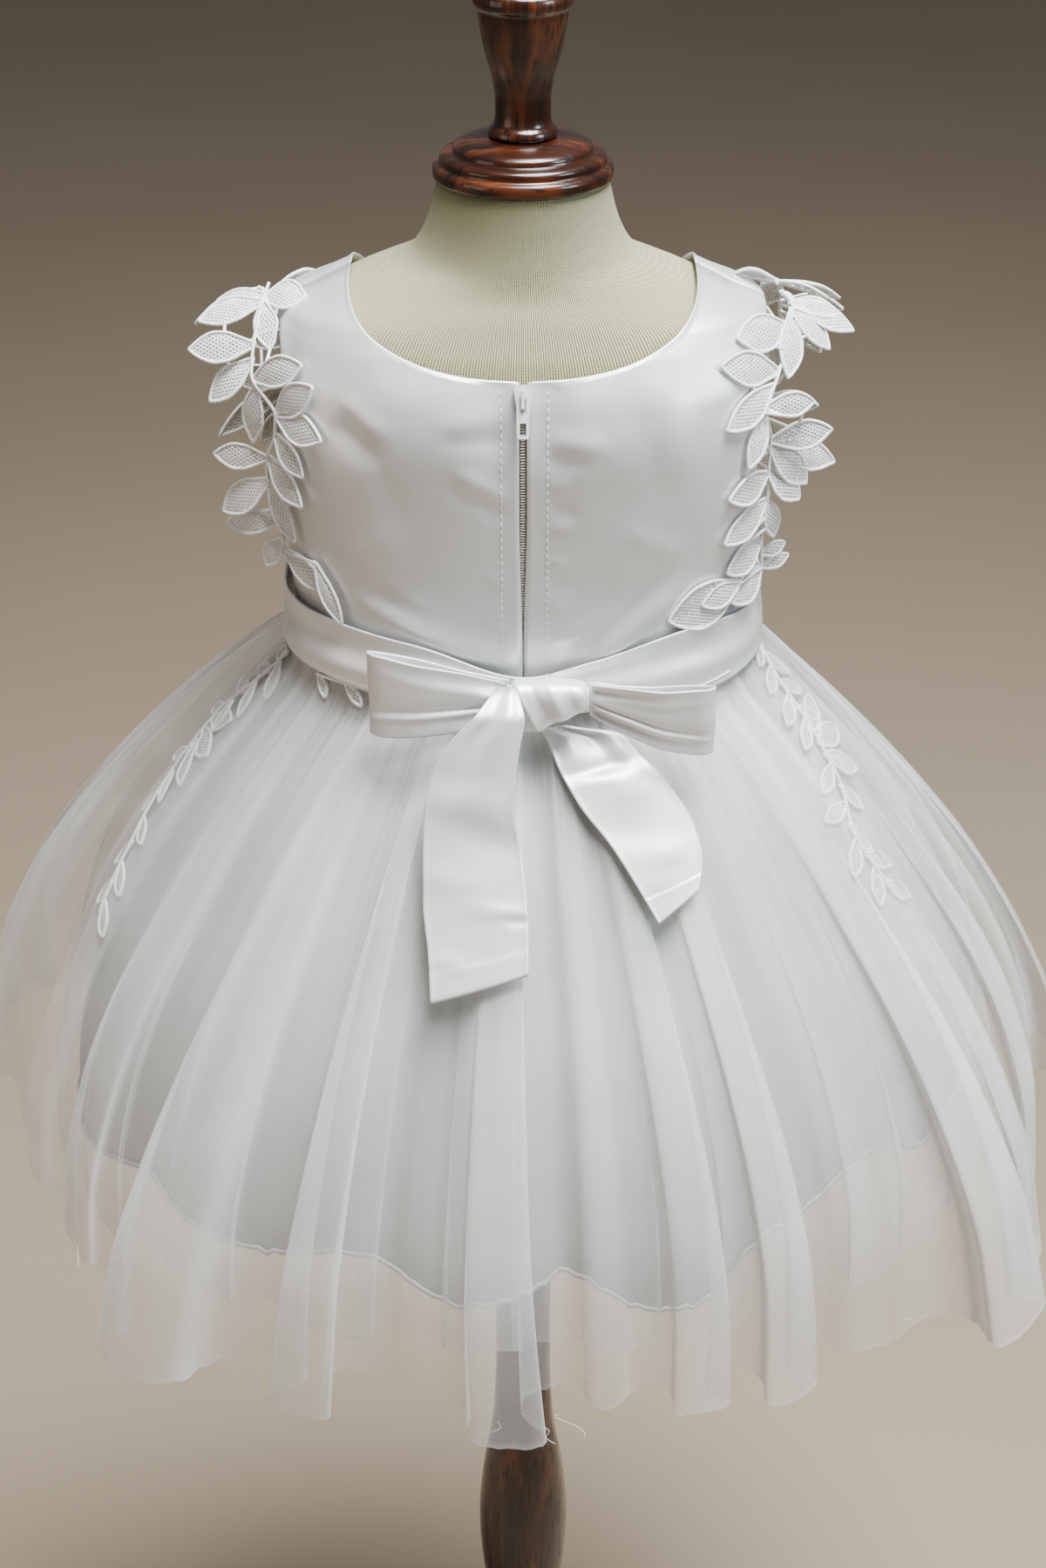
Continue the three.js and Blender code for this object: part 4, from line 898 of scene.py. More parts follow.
# The rolled edge beside the zip: how proud and how wide it is, and where it starts up the panel.
rollSet = {"out": 0.5, "wide": 1.6, "panel": 45, "start": (0.6, 0.66)}
# The satin lies still at its seams, by these shares of the panel, and is uneven between them.
calmSet = {"middle": 0.06, "side": 0.08, "foot": 0.06, "top": 0.9, "uneven": 0.3}
# The satin's broad fullness: its height, depth out and reach up and down; between them it sinks.
fullness = table("z out reach", [(98, 2.5, 20), (14, 0.8, 12)])
fullSpan = {"grows": (7, 24), "ends": (50, 72)}  # out from the middle of the back
fadeSpan = {"start": (-0.2, 0.25), "end": (0.7, 1.25)}  # along a ridge or dent
slitSet = {"top": 70, "foot": 8, "half": 1.4}  # the gap over the zip, open towards the neck
# Soft ridges (+) and dents (-) of the satin: a line from (x, z) to (x, z), how wide and how high.
backCreases = table("x0 z0 x1 z1 width height", [
    (-57, 27, -6, 5, 5, 1.6),
    (-60, 34, -16, 11, 4, -1.2),
    (-38, 22, -4, 8, 3, 0.6),
    (26, 6, 58, 32, 5, 1.6),
    (20, 7, 52, 40, 4, -1.1),
    (-30, 101, -7, 104, 4, 0.5),
    (-28, 95, -7, 96, 3, -0.4),
    (-24, 84, -6, 74, 3, 0.7),
    (-28, 78, -7, 67, 3, -0.5),
    (-14, 42, -7, 41, 2.4, 0.3),
    (-66, 108, -50, 96, 4, 0.8),
    (-70, 98, -54, 86, 4, -0.8),
    (-62, 112, -46, 62, 6, -0.5),
    (9, 119, 15, 114, 1.8, 0.4),
    (10, 96, 30, 93, 4.4, 0.8),
    (10, 88, 24, 88, 3, -0.5),
    (10, 79, 17, 80, 2, 0.4),
    (10, 70, 20, 68, 2.4, -0.4),
    (10, 62, 18, 63, 2.2, 0.45),
    (10, 49, 16, 48, 2, 0.35),
    (10, 40, 20, 38, 2.8, -0.3),
    (10, 30, 17, 30, 2, 0.35),
    (38, 112, 54, 70, 7, -0.5),
    (40, 60, 60, 48, 5, 0.5),
    (-48, 60, -66, 44, 5, 0.5),
    (10, 15, 34, 26, 4, 0.7),
])
frontCreases = table("x0 z0 x1 z1 width height", [
    (-52, 6, -20, 22, 5, 1.2),
    (22, 4, 56, 24, 5, 1.3),
    (-58, 16, -24, 34, 4, -0.9),
    (18, 15, 50, 36, 4, -0.9),
    (-30, 96, -4, 98, 5, 0.6),
    (8, 88, 34, 92, 4, 0.7),
    (-26, 58, -2, 52, 4, -0.5),
    (6, 60, 30, 52, 4, 0.5),
    (-60, 104, -44, 62, 6, -0.7),
    (44, 104, 60, 58, 6, -0.7),
    (-10, 8, 12, 12, 4, 0.6),
])


def creaseLift(x, z, rows):
    # each ridge fades towards its ends
    total = np.zeros(np.broadcast(x, z).shape)
    for x0, z0, x1, z1, width, height in rowsOf(rows):
        run = np.array([x1 - x0, z1 - z0])
        size = run @ run
        along = ((x - x0) * run[0] + (z - z0) * run[1]) / size
        aside = ((x - x0) * run[1] - (z - z0) * run[0]) / math.sqrt(size)
        fade = smoothstep(along, *fadeSpan["start"]) * (1 - smoothstep(along, *fadeSpan["end"]))
        total = total + height * fade * hump(aside, width)
    broad = sum(out * hump(z - at, reach) for at, out, reach in rowsOf(fullness))
    broad = broad * smoothstep(np.abs(x), *fullSpan["grows"])
    broad = broad * (1 - smoothstep(np.abs(x), *fullSpan["ends"]))
    return total * bodiceSet["creasing"] + broad


def turnOfX(x, z):
    # the turn, from 0 to 90, at which a level of the body reaches a distance to the side
    x, z = np.broadcast_arrays(np.asarray(x, float), np.asarray(z, float))
    low, high = np.zeros(x.shape), np.full(x.shape, 90.0)
    for _ in range(30):
        middle = (low + high) / 2
        short = bodyRadius(middle, z) * np.sin(np.radians(middle)) < x
        low, high = np.where(short, middle, low), np.where(short, high, middle)
    return low


def panelPlace(u, v, neckZ, halfGap):
    # u from the middle to the armhole, v from the waist up to the shoulder seam
    corner = bodiceSet["neckCorner"]
    straight = lerp(bodiceSet["foot"], neckZ, np.minimum(v / corner, 1))
    swing = np.radians(np.clip((v - corner) / (1 - corner), 0, 1) * 90)
    curved = v > corner
    neckX = lerp(halfGap(neckZ), bodiceSet["neckHalf"], np.sin(swing))
    x = np.where(curved, neckX, halfGap(straight))
    fromZ = np.where(curved, lerp(bodiceSet["neckSide"], neckZ, np.cos(swing)), straight)
    fromTurn = np.where(v >= 1, 90, np.where(x > 0, turnOfX(x, fromZ), 0))
    corner = bodiceSet["sideCorner"]
    sideZ = lerp(bodiceSet["foot"], bodiceSet["underarm"], np.minimum(v / corner, 1))
    swing = np.radians(lerp(-90, 90, np.clip((v - corner) / (1 - corner), 0, 1)))
    middle = (bodiceSet["shoulder"] + bodiceSet["underarm"]) / 2
    half = (bodiceSet["shoulder"] - bodiceSet["underarm"]) / 2
    bite = bodiceSet["bite"] * np.abs(np.cos(swing)) ** bodiceSet["biteCurve"]
    toTurn = np.where(v > corner, 90 - bite, 90)
    toZ = np.where(v > corner, middle + half * np.sin(swing), sideZ)
    z = lerp(fromZ, toZ, u)
    seam = np.degrees(seamGap / 2 / bodyRadius(90, z))
    return np.minimum(lerp(fromTurn, toTurn, u), 90 - seam), z


def zipSlit(z):
    return lerp(seamGap / 2, slitSet["half"], smoothstep(z, slitSet["foot"], slitSet["top"]))


def closedMiddle(z):
    return z * 0


def halfBodice(face, side):
    # the outer surface of one half, creased: u to the right and v up as seen from outside
    share = np.linspace(0, 1, bodiceSet["columns"])[:, None] ** bodiceSet["crowding"]
    v = np.linspace(0, 1, bodiceSet["rows"])[None, :]
    if face > 0:
        neckZ, gap = bodiceSet["neckBack"], zipSlit
    else:
        neckZ, gap = bodiceSet["neckFront"], closedMiddle
    turn, z = panelPlace(share, v, neckZ, gap)
    turn = turn * side if face > 0 else 180 - turn * side
    points = lifted(bodyAt, satinWall)(turn, z)
    x = points[..., 0]
    lift = creaseLift(x, z, backCreases if face > 0 else frontCreases)
    seed = 3 if face > 0 else 4
    lift = lift + calmSet["uneven"] * softNoise(x * 0.05 + 9, z * 0.04 + 5, seed)
    hold = smoothstep(share, 0, calmSet["middle"]) * smoothstep(1 - share, 0, calmSet["side"])
    hold = hold * (1 - smoothstep(v, calmSet["top"], 1)) * smoothstep(v, 0, calmSet["foot"])
    roll = rollSet["out"] * hump(rollSet["panel"] * share, rollSet["wide"])
    roll = roll * smoothstep(v, *rollSet["start"])
    points = points + facing(bodyAt, turn, z) * (lift * hold + roll)[..., None]
    return points if face * side > 0 else points[::-1]


def declareCloth(piece, grids, cut):
    # cut is the developed lower width, upper width and length of the flat piece
    print(piece.name, "cut", cut, "measured", [round(float(value), 3) for value in cutOf(grids)])


def makeBodice():
    panels = {
        "bodiceBackLeft": ([halfBodice(1, -1)], "bodice_back_left"),
        "bodiceBackRight": ([halfBodice(1, 1)], "bodice_back_right"),
        "bodiceFront": ([halfBodice(-1, 1), halfBodice(-1, -1)], "bodice_front"),
    }
    made = {}
    for name, (grids, node) in panels.items():
        meshes = [gridMesh(name, points, uv=clothUv(points)) for points in grids]
        for mesh in meshes:
            mesh.materials.append(bodiceSatinInShade)
        piece = joinMeshes(name, meshes)
        closeMesh(piece.data)
        made[name] = (thicken(settle(piece, "satin_white", node), bodiceSet["wall"]), grids)
    return made


bodice = makeBodice()
print("bodice ready")


# The skirt: two tulle layers over a satin lining.
valleyRadius = ovalRadius(table("z side back front power", [
    (-280, 222, 191, 202, 2),
    (-215, 219, 184, 193, 2),
    (-176, 210, 172, 180, 2),
    (-140, 195, 156, 163, 2),
    (-100, 170, 133, 140, 2),
    (-60, 139, 106, 112, 2.1),
    (-30, 112, 82, 86, 2.2),
    (-18, 99.6, 72, 73.2, 2.35),
    (-12, 95.9, 71.5, 70.7, 2.4),
    (-3, 95.4, 71.4, 70.4, 2.4),
]))
# Folds: place, width to either side, depth as a share, how far the tip hangs, how far the fold
# leans over its neighbour and how much its head overhangs its neck.
outerFolds = table("turn spread reach dip lean curl", [
    (-85, 6, 0.4, -3, 1, 0.5),
    (-74, 6, 0.5, -8, 2, 0.7),
    (-60, 7, 0.8, -6, -6, 0.8),
    (-39.5, 10, 1, 7, -12, 0.5),
    (-24, 4.5, 1, 12, -4, 1.6),
    (-13, 4, 0.35, 4, 0, 0.6),
    (-4.5, 7, 1, 15, 9, 0.9),
    (10, 5, 0.5, 5, -2, 0.6),
    (19, 5.5, 0.9, 9, 8, 1),
    (29.5, 5, 1, 12, 8, 1.1),
    (41, 6, 0.4, 5, 0, 0.6),
    (54, 7, 1, 12, 10, 1.1),
    (64, 4.5, 0.7, 5, 6, 1.2),
    (76, 6, 0.9, 3, 3, 1.2),
    (87, 5, 0.6, 4, 1, 0.7),
    (100, 8, 0.9, 6, -6, 0.9),
    (112, 4.5, 0.7, 4, 3, 1.3),
    (121, 5, 0.5, 3, 0, 0.6),
    (131, 8, 1, 9, 8, 0.8),
    (145, 5, 0.8, 5, -5, 1.2),
    (156, 9, 0.9, 8, -10, 0.5),
    (171, 5, 1, 7, 5, 1.4),
    (181, 4.5, 0.5, 9, 0, 0.7),
    (193, 8, 0.9, 7, 9, 0.8),
    (205, 4.5, 0.9, 5, -4, 1.4),
    (214, 5.5, 0.6, 7, 2, 0.8),
    (228, 9, 1, 4, -10, 0.6),
    (242, 5, 0.8, 6, 4, 1.2),
    (252, 5, 1, 5, -3, 1),
    (263, 6, 0.6, 4, 1, 0.6),
])
outerSwells = table("turn spread reach growth", [
    (-104, 22, 32, 0.5),
    (-65, 13, -5, 1),
    (-41, 15, 19, 1),
    (55, 20, 27, 1),
    (102, 18, 22, 2),
    (158, 19, 13, 1.2),
    (213, 20, 15, 1),
])
innerFolds = table("turn spread reach dip lean curl", [
    (-80, 9, 0.8, 2, 2, 0.6),
    (-63, 9, 1, 4, -2, 0.8),
    (-44, 11, 0.9, 3, 2, 0.7),
    (-24, 10, 0.8, 5, -3, 0.8),
    (-6, 9, 1, 2, 2, 0.8),
    (12, 10, 0.9, 4, 3, 0.7),
    (31, 9, 0.8, 3, -2, 0.8),
    (49, 10, 1, 5, 2, 0.8),
    (69, 11, 0.9, 2, 3, 0.6),
    (92, 12, 0.8, 4, -2, 0.7),
    (114, 10, 1, 3, 2, 0.8),
    (135, 11, 0.8, 5, -3, 0.7),
    (157, 10, 0.9, 2, 2, 0.8),
    (178, 12, 1, 4, 3, 0.7),
    (202, 11, 0.8, 3, -2, 0.8),
    (223, 10, 0.9, 5, 2, 0.7),
    (243, 9, 1, 3, -2, 0.8),
    (262, 10, 0.9, 4, 1, 0.6),
])
liningFolds = table("turn spread reach dip lean curl", [
    (-75, 17, 0.8, 14, 2, 0),
    (-42, 18, 1, 7, -3, 0),
    (-8, 15, 0.7, 14, 2, 0),
    (20, 16, 1, 20, 3, 0),
    (52, 17, 0.6, -20, -2, 0),
    (86, 18, 0.6, -12, 2, 0),
    (125, 17, 0.8, 8, -2, 0),
    (160, 16, 1, 5, 3, 0),
    (196, 18, 0.9, 10, -2, 0),
    (232, 17, 1, 4, 2, 0),
    (262, 13, 0.7, 6, 1, 0),
])
noSwells = table("turn spread reach growth", [(0, 1, 0, 1)])
# The paths of the two leaf garlands, over which the outer tulle lies single and clear.
leftVine = table("at turn z", [
    (0, -80, -14),
    (0.2, -85, -34),
    (0.4, -90, -54),
    (0.6, -89, -78),
    (0.8, -83, -104),
    (1, -79, -130),
])
rightVine = table("at turn z", [
    (0, 86, -13),
    (0.2, 80, -30),
    (0.4, 77, -45),
    (0.6, 73, -64),
    (0.8, 68, -82),
    (1, 69, -104),
])
# A layer's top and hem, how far it lies inside the valleys at its waist, at once below the sash
# and at its hem, how deep its folds grow, how high its small gathers and ripples stand, and how
# much one layer of its cloth covers. A cut is the lower and upper width and length in metres.
layers = {
    "outer": {"top": -3.4, "hem": -252, "waist": 0, "room": 0, "inset": 0, "depth": 17,
              "folds": outerFolds, "swells": outerSwells, "columns": 560, "rows": 104,
              "gather": 0.45, "ripple": 1.5, "cover": 0.18, "vines": (leftVine, rightVine),
              "title": "outerTulle", "node": "skirt_tulle_outer_", "cut": (1.15, 0.36, 0.285)},
    "inner": {"top": -4.6, "hem": -240, "waist": 1.5, "room": 3.4, "inset": 12.4, "depth": 5,
              "folds": innerFolds, "swells": noSwells, "columns": 320, "rows": 70,
              "gather": 0.35, "ripple": 1.1, "cover": 0.18, "vines": (),
              "title": "innerTulle", "node": "skirt_tulle_inner_", "cut": (0.85, 0.33, 0.26)},
    "lining": {"top": -6.3, "hem": -216, "waist": 3.6, "room": 3.6, "inset": 24.4, "depth": 8,
               "folds": liningFolds, "swells": noSwells, "columns": 190, "rows": 56,
               "gather": 0.3, "ripple": 0.8,
               "title": "skirtLining", "node": "skirt_lining_", "cut": (0.64, 0.29, 0.225)},
}
skirtSet = {"flareTop": -12, "roomGrows": 14, "overhang": 0.33, "hemRoll": 0.85, "wall": 0.35,
            "flatness": 0.45, "seam": 3, "crowding": 1.35, "deepening": 0.9, "drift": 1.6,
            "curling": 0.6, "hemWave": 1.6, "hemFray": 0.8, "hemOnly": 8}
# Small waves of the cloth: bumps to a degree around and to a millimetre down.
waves = {"tight": (0.62, 0.004), "loose": (0.27, 0.008), "ripple": (0.16, 0.014),
         "fineRipple": (0.5, 0.01), "drift": (0.05, 0.006), "hem": (0.8, 0), "fineHem": (3, 0)}
# Gathers: the depth where the tight and the loose ones are at their strongest, how far they reach
# up and down from there, how much stronger the loose ones are, and where they rise to the full.
gatherSet = {"tight": (14, 34), "loose": (62, 60), "looser": 1.6, "rise": (6, 34),
             "atWaist": 0.5, "growth": 1.2}
# How much the cloth covers: the least that it faces outwards, how much crowding adds, the tone of
# streaks and gathers, how much a doubled fold adds, and how clear it lies over the garlands.
coverSet = {"edgeOn": 0.17, "crowdMost": 2.6, "crowdPower": 0.35, "streaks": 0.3,
            "gatherTone": 0.4, "gatherReach": 85, "fold": (0.3, 0.66), "foldGrows": 180,
            "doubled": 1, "hem": 1.7, "clearing": 19, "degree": 2.4, "clearer": 0.6}


def foldRise(folds, turns):
    # where each fold stands: the way across it, its rounded top and the height of them all
    away = turnApart(turns[..., None], folds["turn"]) / folds["spread"]
    inside = np.abs(away) < 1
    bump = np.where(inside, (1 - away ** 2) ** 2, 0)
    flat = np.where(inside, (1 - away ** 4) ** 2, 0)
    out = 1 - np.prod(1 - folds["reach"] * lerp(bump, flat, skirtSet["flatness"]), axis=-1)
    return away, inside, bump, out


def layerPoints(layer, turns, v):
    # v is 0 at the hem and 1 at the waist
    folds, swells = layer["folds"], layer["swells"]
    away, inside, bump, out = foldRise(folds, turns)
    dip = (folds["dip"] * bump).sum(-1)
    lean = (folds["lean"] * bump).sum(-1)
    curl = np.where(inside, np.sin(2 * math.pi * away) * folds["spread"] * folds["curl"], 0)
    curl = (curl * folds["reach"]).sum(-1) * skirtSet["overhang"]
    z = lerp(layer["hem"] - dip, layer["top"], v)
    flare = skirtSet["flareTop"]
    fall = np.clip((flare - z) / (flare - layer["hem"]), 0, 1.1)
    near = layer["waist"] + layer["room"] * np.minimum(fall * skirtSet["roomGrows"], 1)
    inset = near + max(layer["inset"] - layer["waist"] - layer["room"], 0) * fall
    swell = np.zeros(np.broadcast(turns, z).shape)
    for middle, spread, reach, growth in rowsOf(swells):
        share = np.abs(turnApart(turns, middle)) / spread
        swell = swell + reach * np.where(share < 1, (1 - share ** 2) ** 2, 0) * fall ** growth
    depth = layer["depth"] * fall ** skirtSet["deepening"] * out
    radius = valleyRadius(turns, z) - inset + swell + depth
    return radius, z, fall, curl, lean


def wavesOver(kind, turns, z, seed):
    around, down = waves[kind]
    return softNoise(turns * around, z * down, seed)


def layerShape(layer, fromTurn, toTurn, seed):
    # the layer with its folds leant and curled, its gathers at the waist and an uneven hem
    turns = np.linspace(fromTurn, toTurn, layer["columns"])[:, None]
    down = np.linspace(0, 1, layer["rows"])[None, ::-1] ** skirtSet["crowding"]
    radius, z, fall, curl, lean = layerPoints(layer, turns, 1 - down)
    calm = skirtSet["seam"]
    seam = smoothstep(turns, fromTurn, fromTurn + calm) * smoothstep(-turns, -toTurn, calm - toTurn)
    # gathers start small and tight, merge on the way down and die out
    rise = smoothstep(-z, *gatherSet["rise"])
    at, reach = gatherSet["tight"]
    tight = wavesOver("tight", turns, z, seed) * hump(z + at, reach)
    at, reach = gatherSet["loose"]
    loose = wavesOver("loose", turns, z, seed + 1) * hump(z + at, reach)
    gathers = tight + gatherSet["looser"] * rise * loose
    height = layer["gather"] * (rise * gatherSet["growth"] + gatherSet["atWaist"])
    gathers = height * gathers
    ripple = wavesOver("ripple", turns, z, seed + 2)
    ripple = layer["ripple"] * fall * (ripple + 0.5 * wavesOver("fineRipple", turns, z, seed + 3))
    radius = radius + seam * (gathers + ripple)
    drift = skirtSet["drift"] * wavesOver("drift", turns, z, seed + 4) * fall
    over = curl * fall ** skirtSet["curling"] + np.degrees(lean * fall / radius) + drift
    wave = skirtSet["hemWave"] * wavesOver("hem", turns, z, seed + 5)
    fray = skirtSet["hemFray"] * wavesOver("fineHem", turns, z, seed + 6)
    z = z + (down ** skirtSet["hemOnly"]) * (wave + fray)
    gap = np.degrees(seamGap / 2 / radius)
    turned = np.clip(turns + seam * over, fromTurn + gap, toTurn - gap)
    return aroundAxis(radius, turned, z)


def coverOf(points, layer, turns):
    # cloth that stands edge on, is gathered tight or is doubled in a fold covers more
    look = coverSet
    normal = gridFacing(points)
    radial = unit(points * np.array([1, 1, 0]))
    face = np.clip(np.abs((normal * radial).sum(-1)), look["edgeOn"], 1)
    width = np.linalg.norm(np.gradient(points, axis=0), axis=-1).mean(axis=0)
    crowd = np.clip(width[0] / width, 1, look["crowdMost"]) ** look["crowdPower"]
    turn = turnAt(points[..., 0], points[..., 1])
    below = waist - points[..., 2]
    streaks = 1 + look["streaks"] * softNoise(turn * 0.3 + 400, points[..., 2] * 0.01, 71)
    tight = softNoise(turn * 0.5 + 300, below * 0.008, 72)
    tight = tight + softNoise(turn * 1.3, below * 0.01, 73)
    tight = tight * hump(below, look["gatherReach"])
    streaks = streaks + look["gatherTone"] * tight
    rise = smoothstep(foldRise(layer["folds"], turns)[-1], *look["fold"])
    rise = rise * np.clip(below / look["foldGrows"], 0, 1) ** 0.6
    clear = np.zeros(turn.shape)
    for rows in layer["vines"]:
        for t, z in zip(rows["turn"], rows["z"]):
            away = np.hypot((turn - t) * look["degree"], below + z) / look["clearing"]
            clear = np.maximum(clear, hump(away))
    streaks = streaks * (1 + look["doubled"] * rise * (1 - clear)) * (1 - look["clearer"] * clear)
    edge = np.ones(width.shape)
    edge[0] = look["hem"]
    return 1 - (1 - layer["cover"]) ** (streaks * (crowd * edge)[None, :] / face)


def rolledHem(points, radius):
    # a narrow roll under the lower edge, turned outwards and up
    out = gridFacing(points)[:, :1]
    low = unit(points[:, :1] - points[:, 1:2])
    angles = np.radians([285, 240, 195, 150, 105, 60, 25])[None, :, None]
    roll = points[:, :1] + radius * ((1 - np.cos(angles)) * out + np.sin(angles) * low)
    return np.concatenate([roll, points], axis=1)


halves = {"Back": (-90, 90, 11), "Front": (90, 270, 37)}  # from and to turns, and the seed


def makeSkirt():
    made = {}
    for layer in layers.values():
        for half, (fromTurn, toTurn, seed) in halves.items():
            points = layerShape(layer, fromTurn, toTurn, seed)
            title, node = layer["title"] + half, layer["node"] + half.lower()
            if "cover" in layer:
                turns = np.linspace(fromTurn, toTurn, layer["columns"])[:, None]
                marks = {"clothCover": coverOf(points, layer, turns)}
                mesh = gridMesh(title, points, uv=clothUv(points), marks=marks)
                piece = settle(meshObject(title, mesh, [tulleNet]), "tulle_white", node)
            else:
                points = rolledHem(points, skirtSet["hemRoll"])
                mesh = gridMesh(title, points, uv=clothUv(points))
                piece = settle(meshObject(title, mesh, [liningSatinInShade]), "satin_white", node)
                thicken(piece, skirtSet["wall"])
            made[title] = (piece, [points], layer["cut"])
    return made


# Threads that have come loose at the raw hem: where each starts, how long it is, how far it swings
# sideways and how much it curls.
looseThreads = table("turn z length swing curl", [
    (-3, -262, 15, -7, 3),
    (2, -264, 11, 6, 2),
    (4, -259, 13, 9, -3),
    (47, -258, 17, 12, 2),
    (58, -250, 22, 14, -3),
    (63, -246, 14, 9, 2),
    (-36, -256, 12, -7, 2),
    (-58, -244, 10, 6, -2),
    (128, -258, 14, -8, 3),
    (197, -256, 13, 8, -2),
    (241, -254, 12, -6, 2),
])
threadSet = {"out": 3, "radius": 0.14, "bead": 0.9, "swell": 0.1, "sides": 4, "points": 14}


def makeLooseThreads():
    paths = []
    share = np.linspace(0, 1, threadSet["points"])
    for turn, z, length, swing, curl in rowsOf(looseThreads):
        reach = valleyRadius(turn, z) + layers["outer"]["depth"] * 0.6
        reach = reach + threadSet["out"] * share + curl * np.sin(share * 5) * 0.4
        side = turn + np.degrees((swing * share ** 1.3 + curl * np.sin(share * 6)) / reach)
        paths.append(aroundAxis(reach, side, z - length * share ** 1.5 * 0.7 + 2))
    mesh = grow("looseThreads", paths, cordTree, {
        "Bead": threadSet["bead"] * mm, "Radius": threadSet["radius"] * mm,
        "Swell": threadSet["swell"], "Sides": threadSet["sides"], "Material": sewingThread})
    settle(meshObject("looseThreads", mesh, []), "tulle_white")


skirt = makeSkirt()
makeLooseThreads()
print("skirt ready")


# The sash and its bow: the ribbon's middle and half width round the waist.
sashRows = table("turn z half", [
    (-90, 5, 11.5),
    (-60, 5.5, 12.5),
    (-35, 2.5, 12),
    (0, -5.6, 8.4),
    (22, -2, 10.5),
    (52, 3, 14.5),
    (75, 2.5, 12),
    (90, 4, 12),
    (180, 5.5, 14),
    (270, 5, 11.5),
])
# It lies further out below the waist, over the gathers, than above it; edge is its turned edge.
sashSet = {"outLow": 5.7, "outHigh": 3.4, "from": -2, "to": 12, "wall": 0.7, "knotX": 10,
           "rows": 34, "pleat": 0.55, "pleatsReach": 34, "pleatsAt": 8, "edge": 0.25,
           "edgeWidth": 0.12}


def sashPoints(fromTurn, toTurn, columns):
    turns = np.linspace(fromTurn, toTurn, columns)[:, None]
    across = np.linspace(-1, 1, sashSet["rows"])[None, :]
    middle, half = smoothCurve(sashRows, "z", "turn"), smoothCurve(sashRows, "half", "turn")

    def surface(turn, v):
        z = middle(turn) + half(turn) * v
        blend = smoothstep(z, sashSet["from"], sashSet["to"])
        out = lerp(sashSet["outLow"], sashSet["outHigh"], blend) + satinWall
        return lifted(bodyAt, out)(turn, z)

    points = surface(turns, across)
    # long soft pleats that gather towards the knot, and a turned edge
    near = np.exp(-np.abs(turns - sashSet["pleatsAt"]) / sashSet["pleatsReach"])
    pleats = np.sin(across * 7 + turns * 0.05 + 0.8) * near
    pleats = pleats + 0.5 * np.sin(across * 4 - turns * 0.07)
    edge = sashSet["edge"] * hump(1 - np.abs(across), sashSet["edgeWidth"])
    lift = sashSet["pleat"] * pleats * (1 - across ** 4) + edge
    return points + gridFacing(points) * lift[..., None]


def makeSash():
    knotTurn = math.degrees(math.atan(sashSet["knotX"] / float(bodyRadius(0, 0))))
    side, middle = (math.degrees(seamGap / 2 / reach) for reach in (95, 70))
    spans = {
        "sashFront": (90 + side, 270 - side, 200, "sash_front"),
        "sashBackLeft": (-90 + side, knotTurn - middle, 130, "sash_back_left"),
        "sashBackRight": (knotTurn + middle, 90 - side, 110, "sash_back_right"),
    }
    made = {}
    for name, (fromTurn, toTurn, columns, node) in spans.items():
        points = sashPoints(fromTurn, toTurn, columns)
        piece = meshObject(name, gridMesh(name, points, uv=clothUv(points)), [ribbonSatin])
        made[name] = (thicken(settle(piece, "satin_white", node), sashSet["wall"]), [points])
    return made


leftLoop = table("at x y z half", [
    (0, -5.4, -83, -3, 7.5),
    (1, -20, -89, 0, 11.5),
    (2, -40, -92, 2, 15),
    (3, -54, -90, 3, 17),
    (4, -58.5, -85.5, 3, 17),
    (5, -54, -81.5, 1.5, 16.5),
    (6, -40, -79.5, -0.8, 15),
    (7, -20, -78.5, -3, 11),
    (8, -5.4, -78, -3, 7.5),
])
rightLoop = table("at x y z half", [
    (0, 25.4, -83, -2, 6.5),
    (1, 38, -88, -4, 9.5),
    (2, 54, -91, -7, 12.5),
    (3, 68, -90, -8, 14),
    (4, 73, -86, -8.5, 14),
    (5, 68, -82, -9.6, 13.5),
    (6, 54, -80, -9.6, 12),
    (7, 38, -79, -7, 9),
    (8, 25.4, -78.5, -3, 6.5),
])
# Long folds of a loop: where each leaves the knot across the ribbon, how it fans outwards, its
# width as a share of the ribbon's and its height.
loopFolds = table("middle fan width height", [
    (-0.3, -0.32, 0.09, 1.2),
    (-0.12, -0.36, 0.1, -1),
    (0.3, 0.4, 0.16, 0.6),
])
loopSet = {"columns": 130, "rows": 44, "wall": 0.7, "pinch": 1.4, "pinchReach": 2.6,
           "soft": 0.7, "foldReach": 0.75, "strength": 0.8}


def loopPoints(rows, seed):
    at = np.linspace(0, 8, loopSet["columns"])[:, None]
    across = np.linspace(-1, 1, loopSet["rows"])[None, :]
    x, y, z, half = (smoothCurve(rows, n, "at")(at) for n in ("x", "y", "z", "half"))
    points = np.stack(np.broadcast_arrays(x, y, z + half * across + waist), -1)
    leftward = rows["x"][1] < rows["x"][0]
    if leftward:
        points = points[::-1]
    # creases fan out from the knot and fade towards the end of the loop
    reach = np.minimum(at, 8 - at) / 4
    if leftward:
        reach = reach[::-1]
    pinch = np.exp(-reach * loopSet["pinchReach"]) * np.sin(across * 5.2 + seed)
    soft = 0.5 * np.sin(reach * 5 + across * 1.6 + seed * 2) * smoothstep(reach, 0.1, 0.5)
    hold = smoothstep(reach, 0, 0.08)
    long = np.zeros(soft.shape)
    for middle, fan, width, height in rowsOf(loopFolds):
        long = long + height * hump(across - middle - fan * reach, width)
    long = long * np.exp(-((reach / loopSet["foldReach"]) ** 4))
    lift = loopSet["pinch"] * pinch * hold
    lift = lift + loopSet["soft"] * soft * (1 - across ** 2 * 0.5) + hold * long
    return points + gridFacing(points) * lift[..., None] * loopSet["strength"]


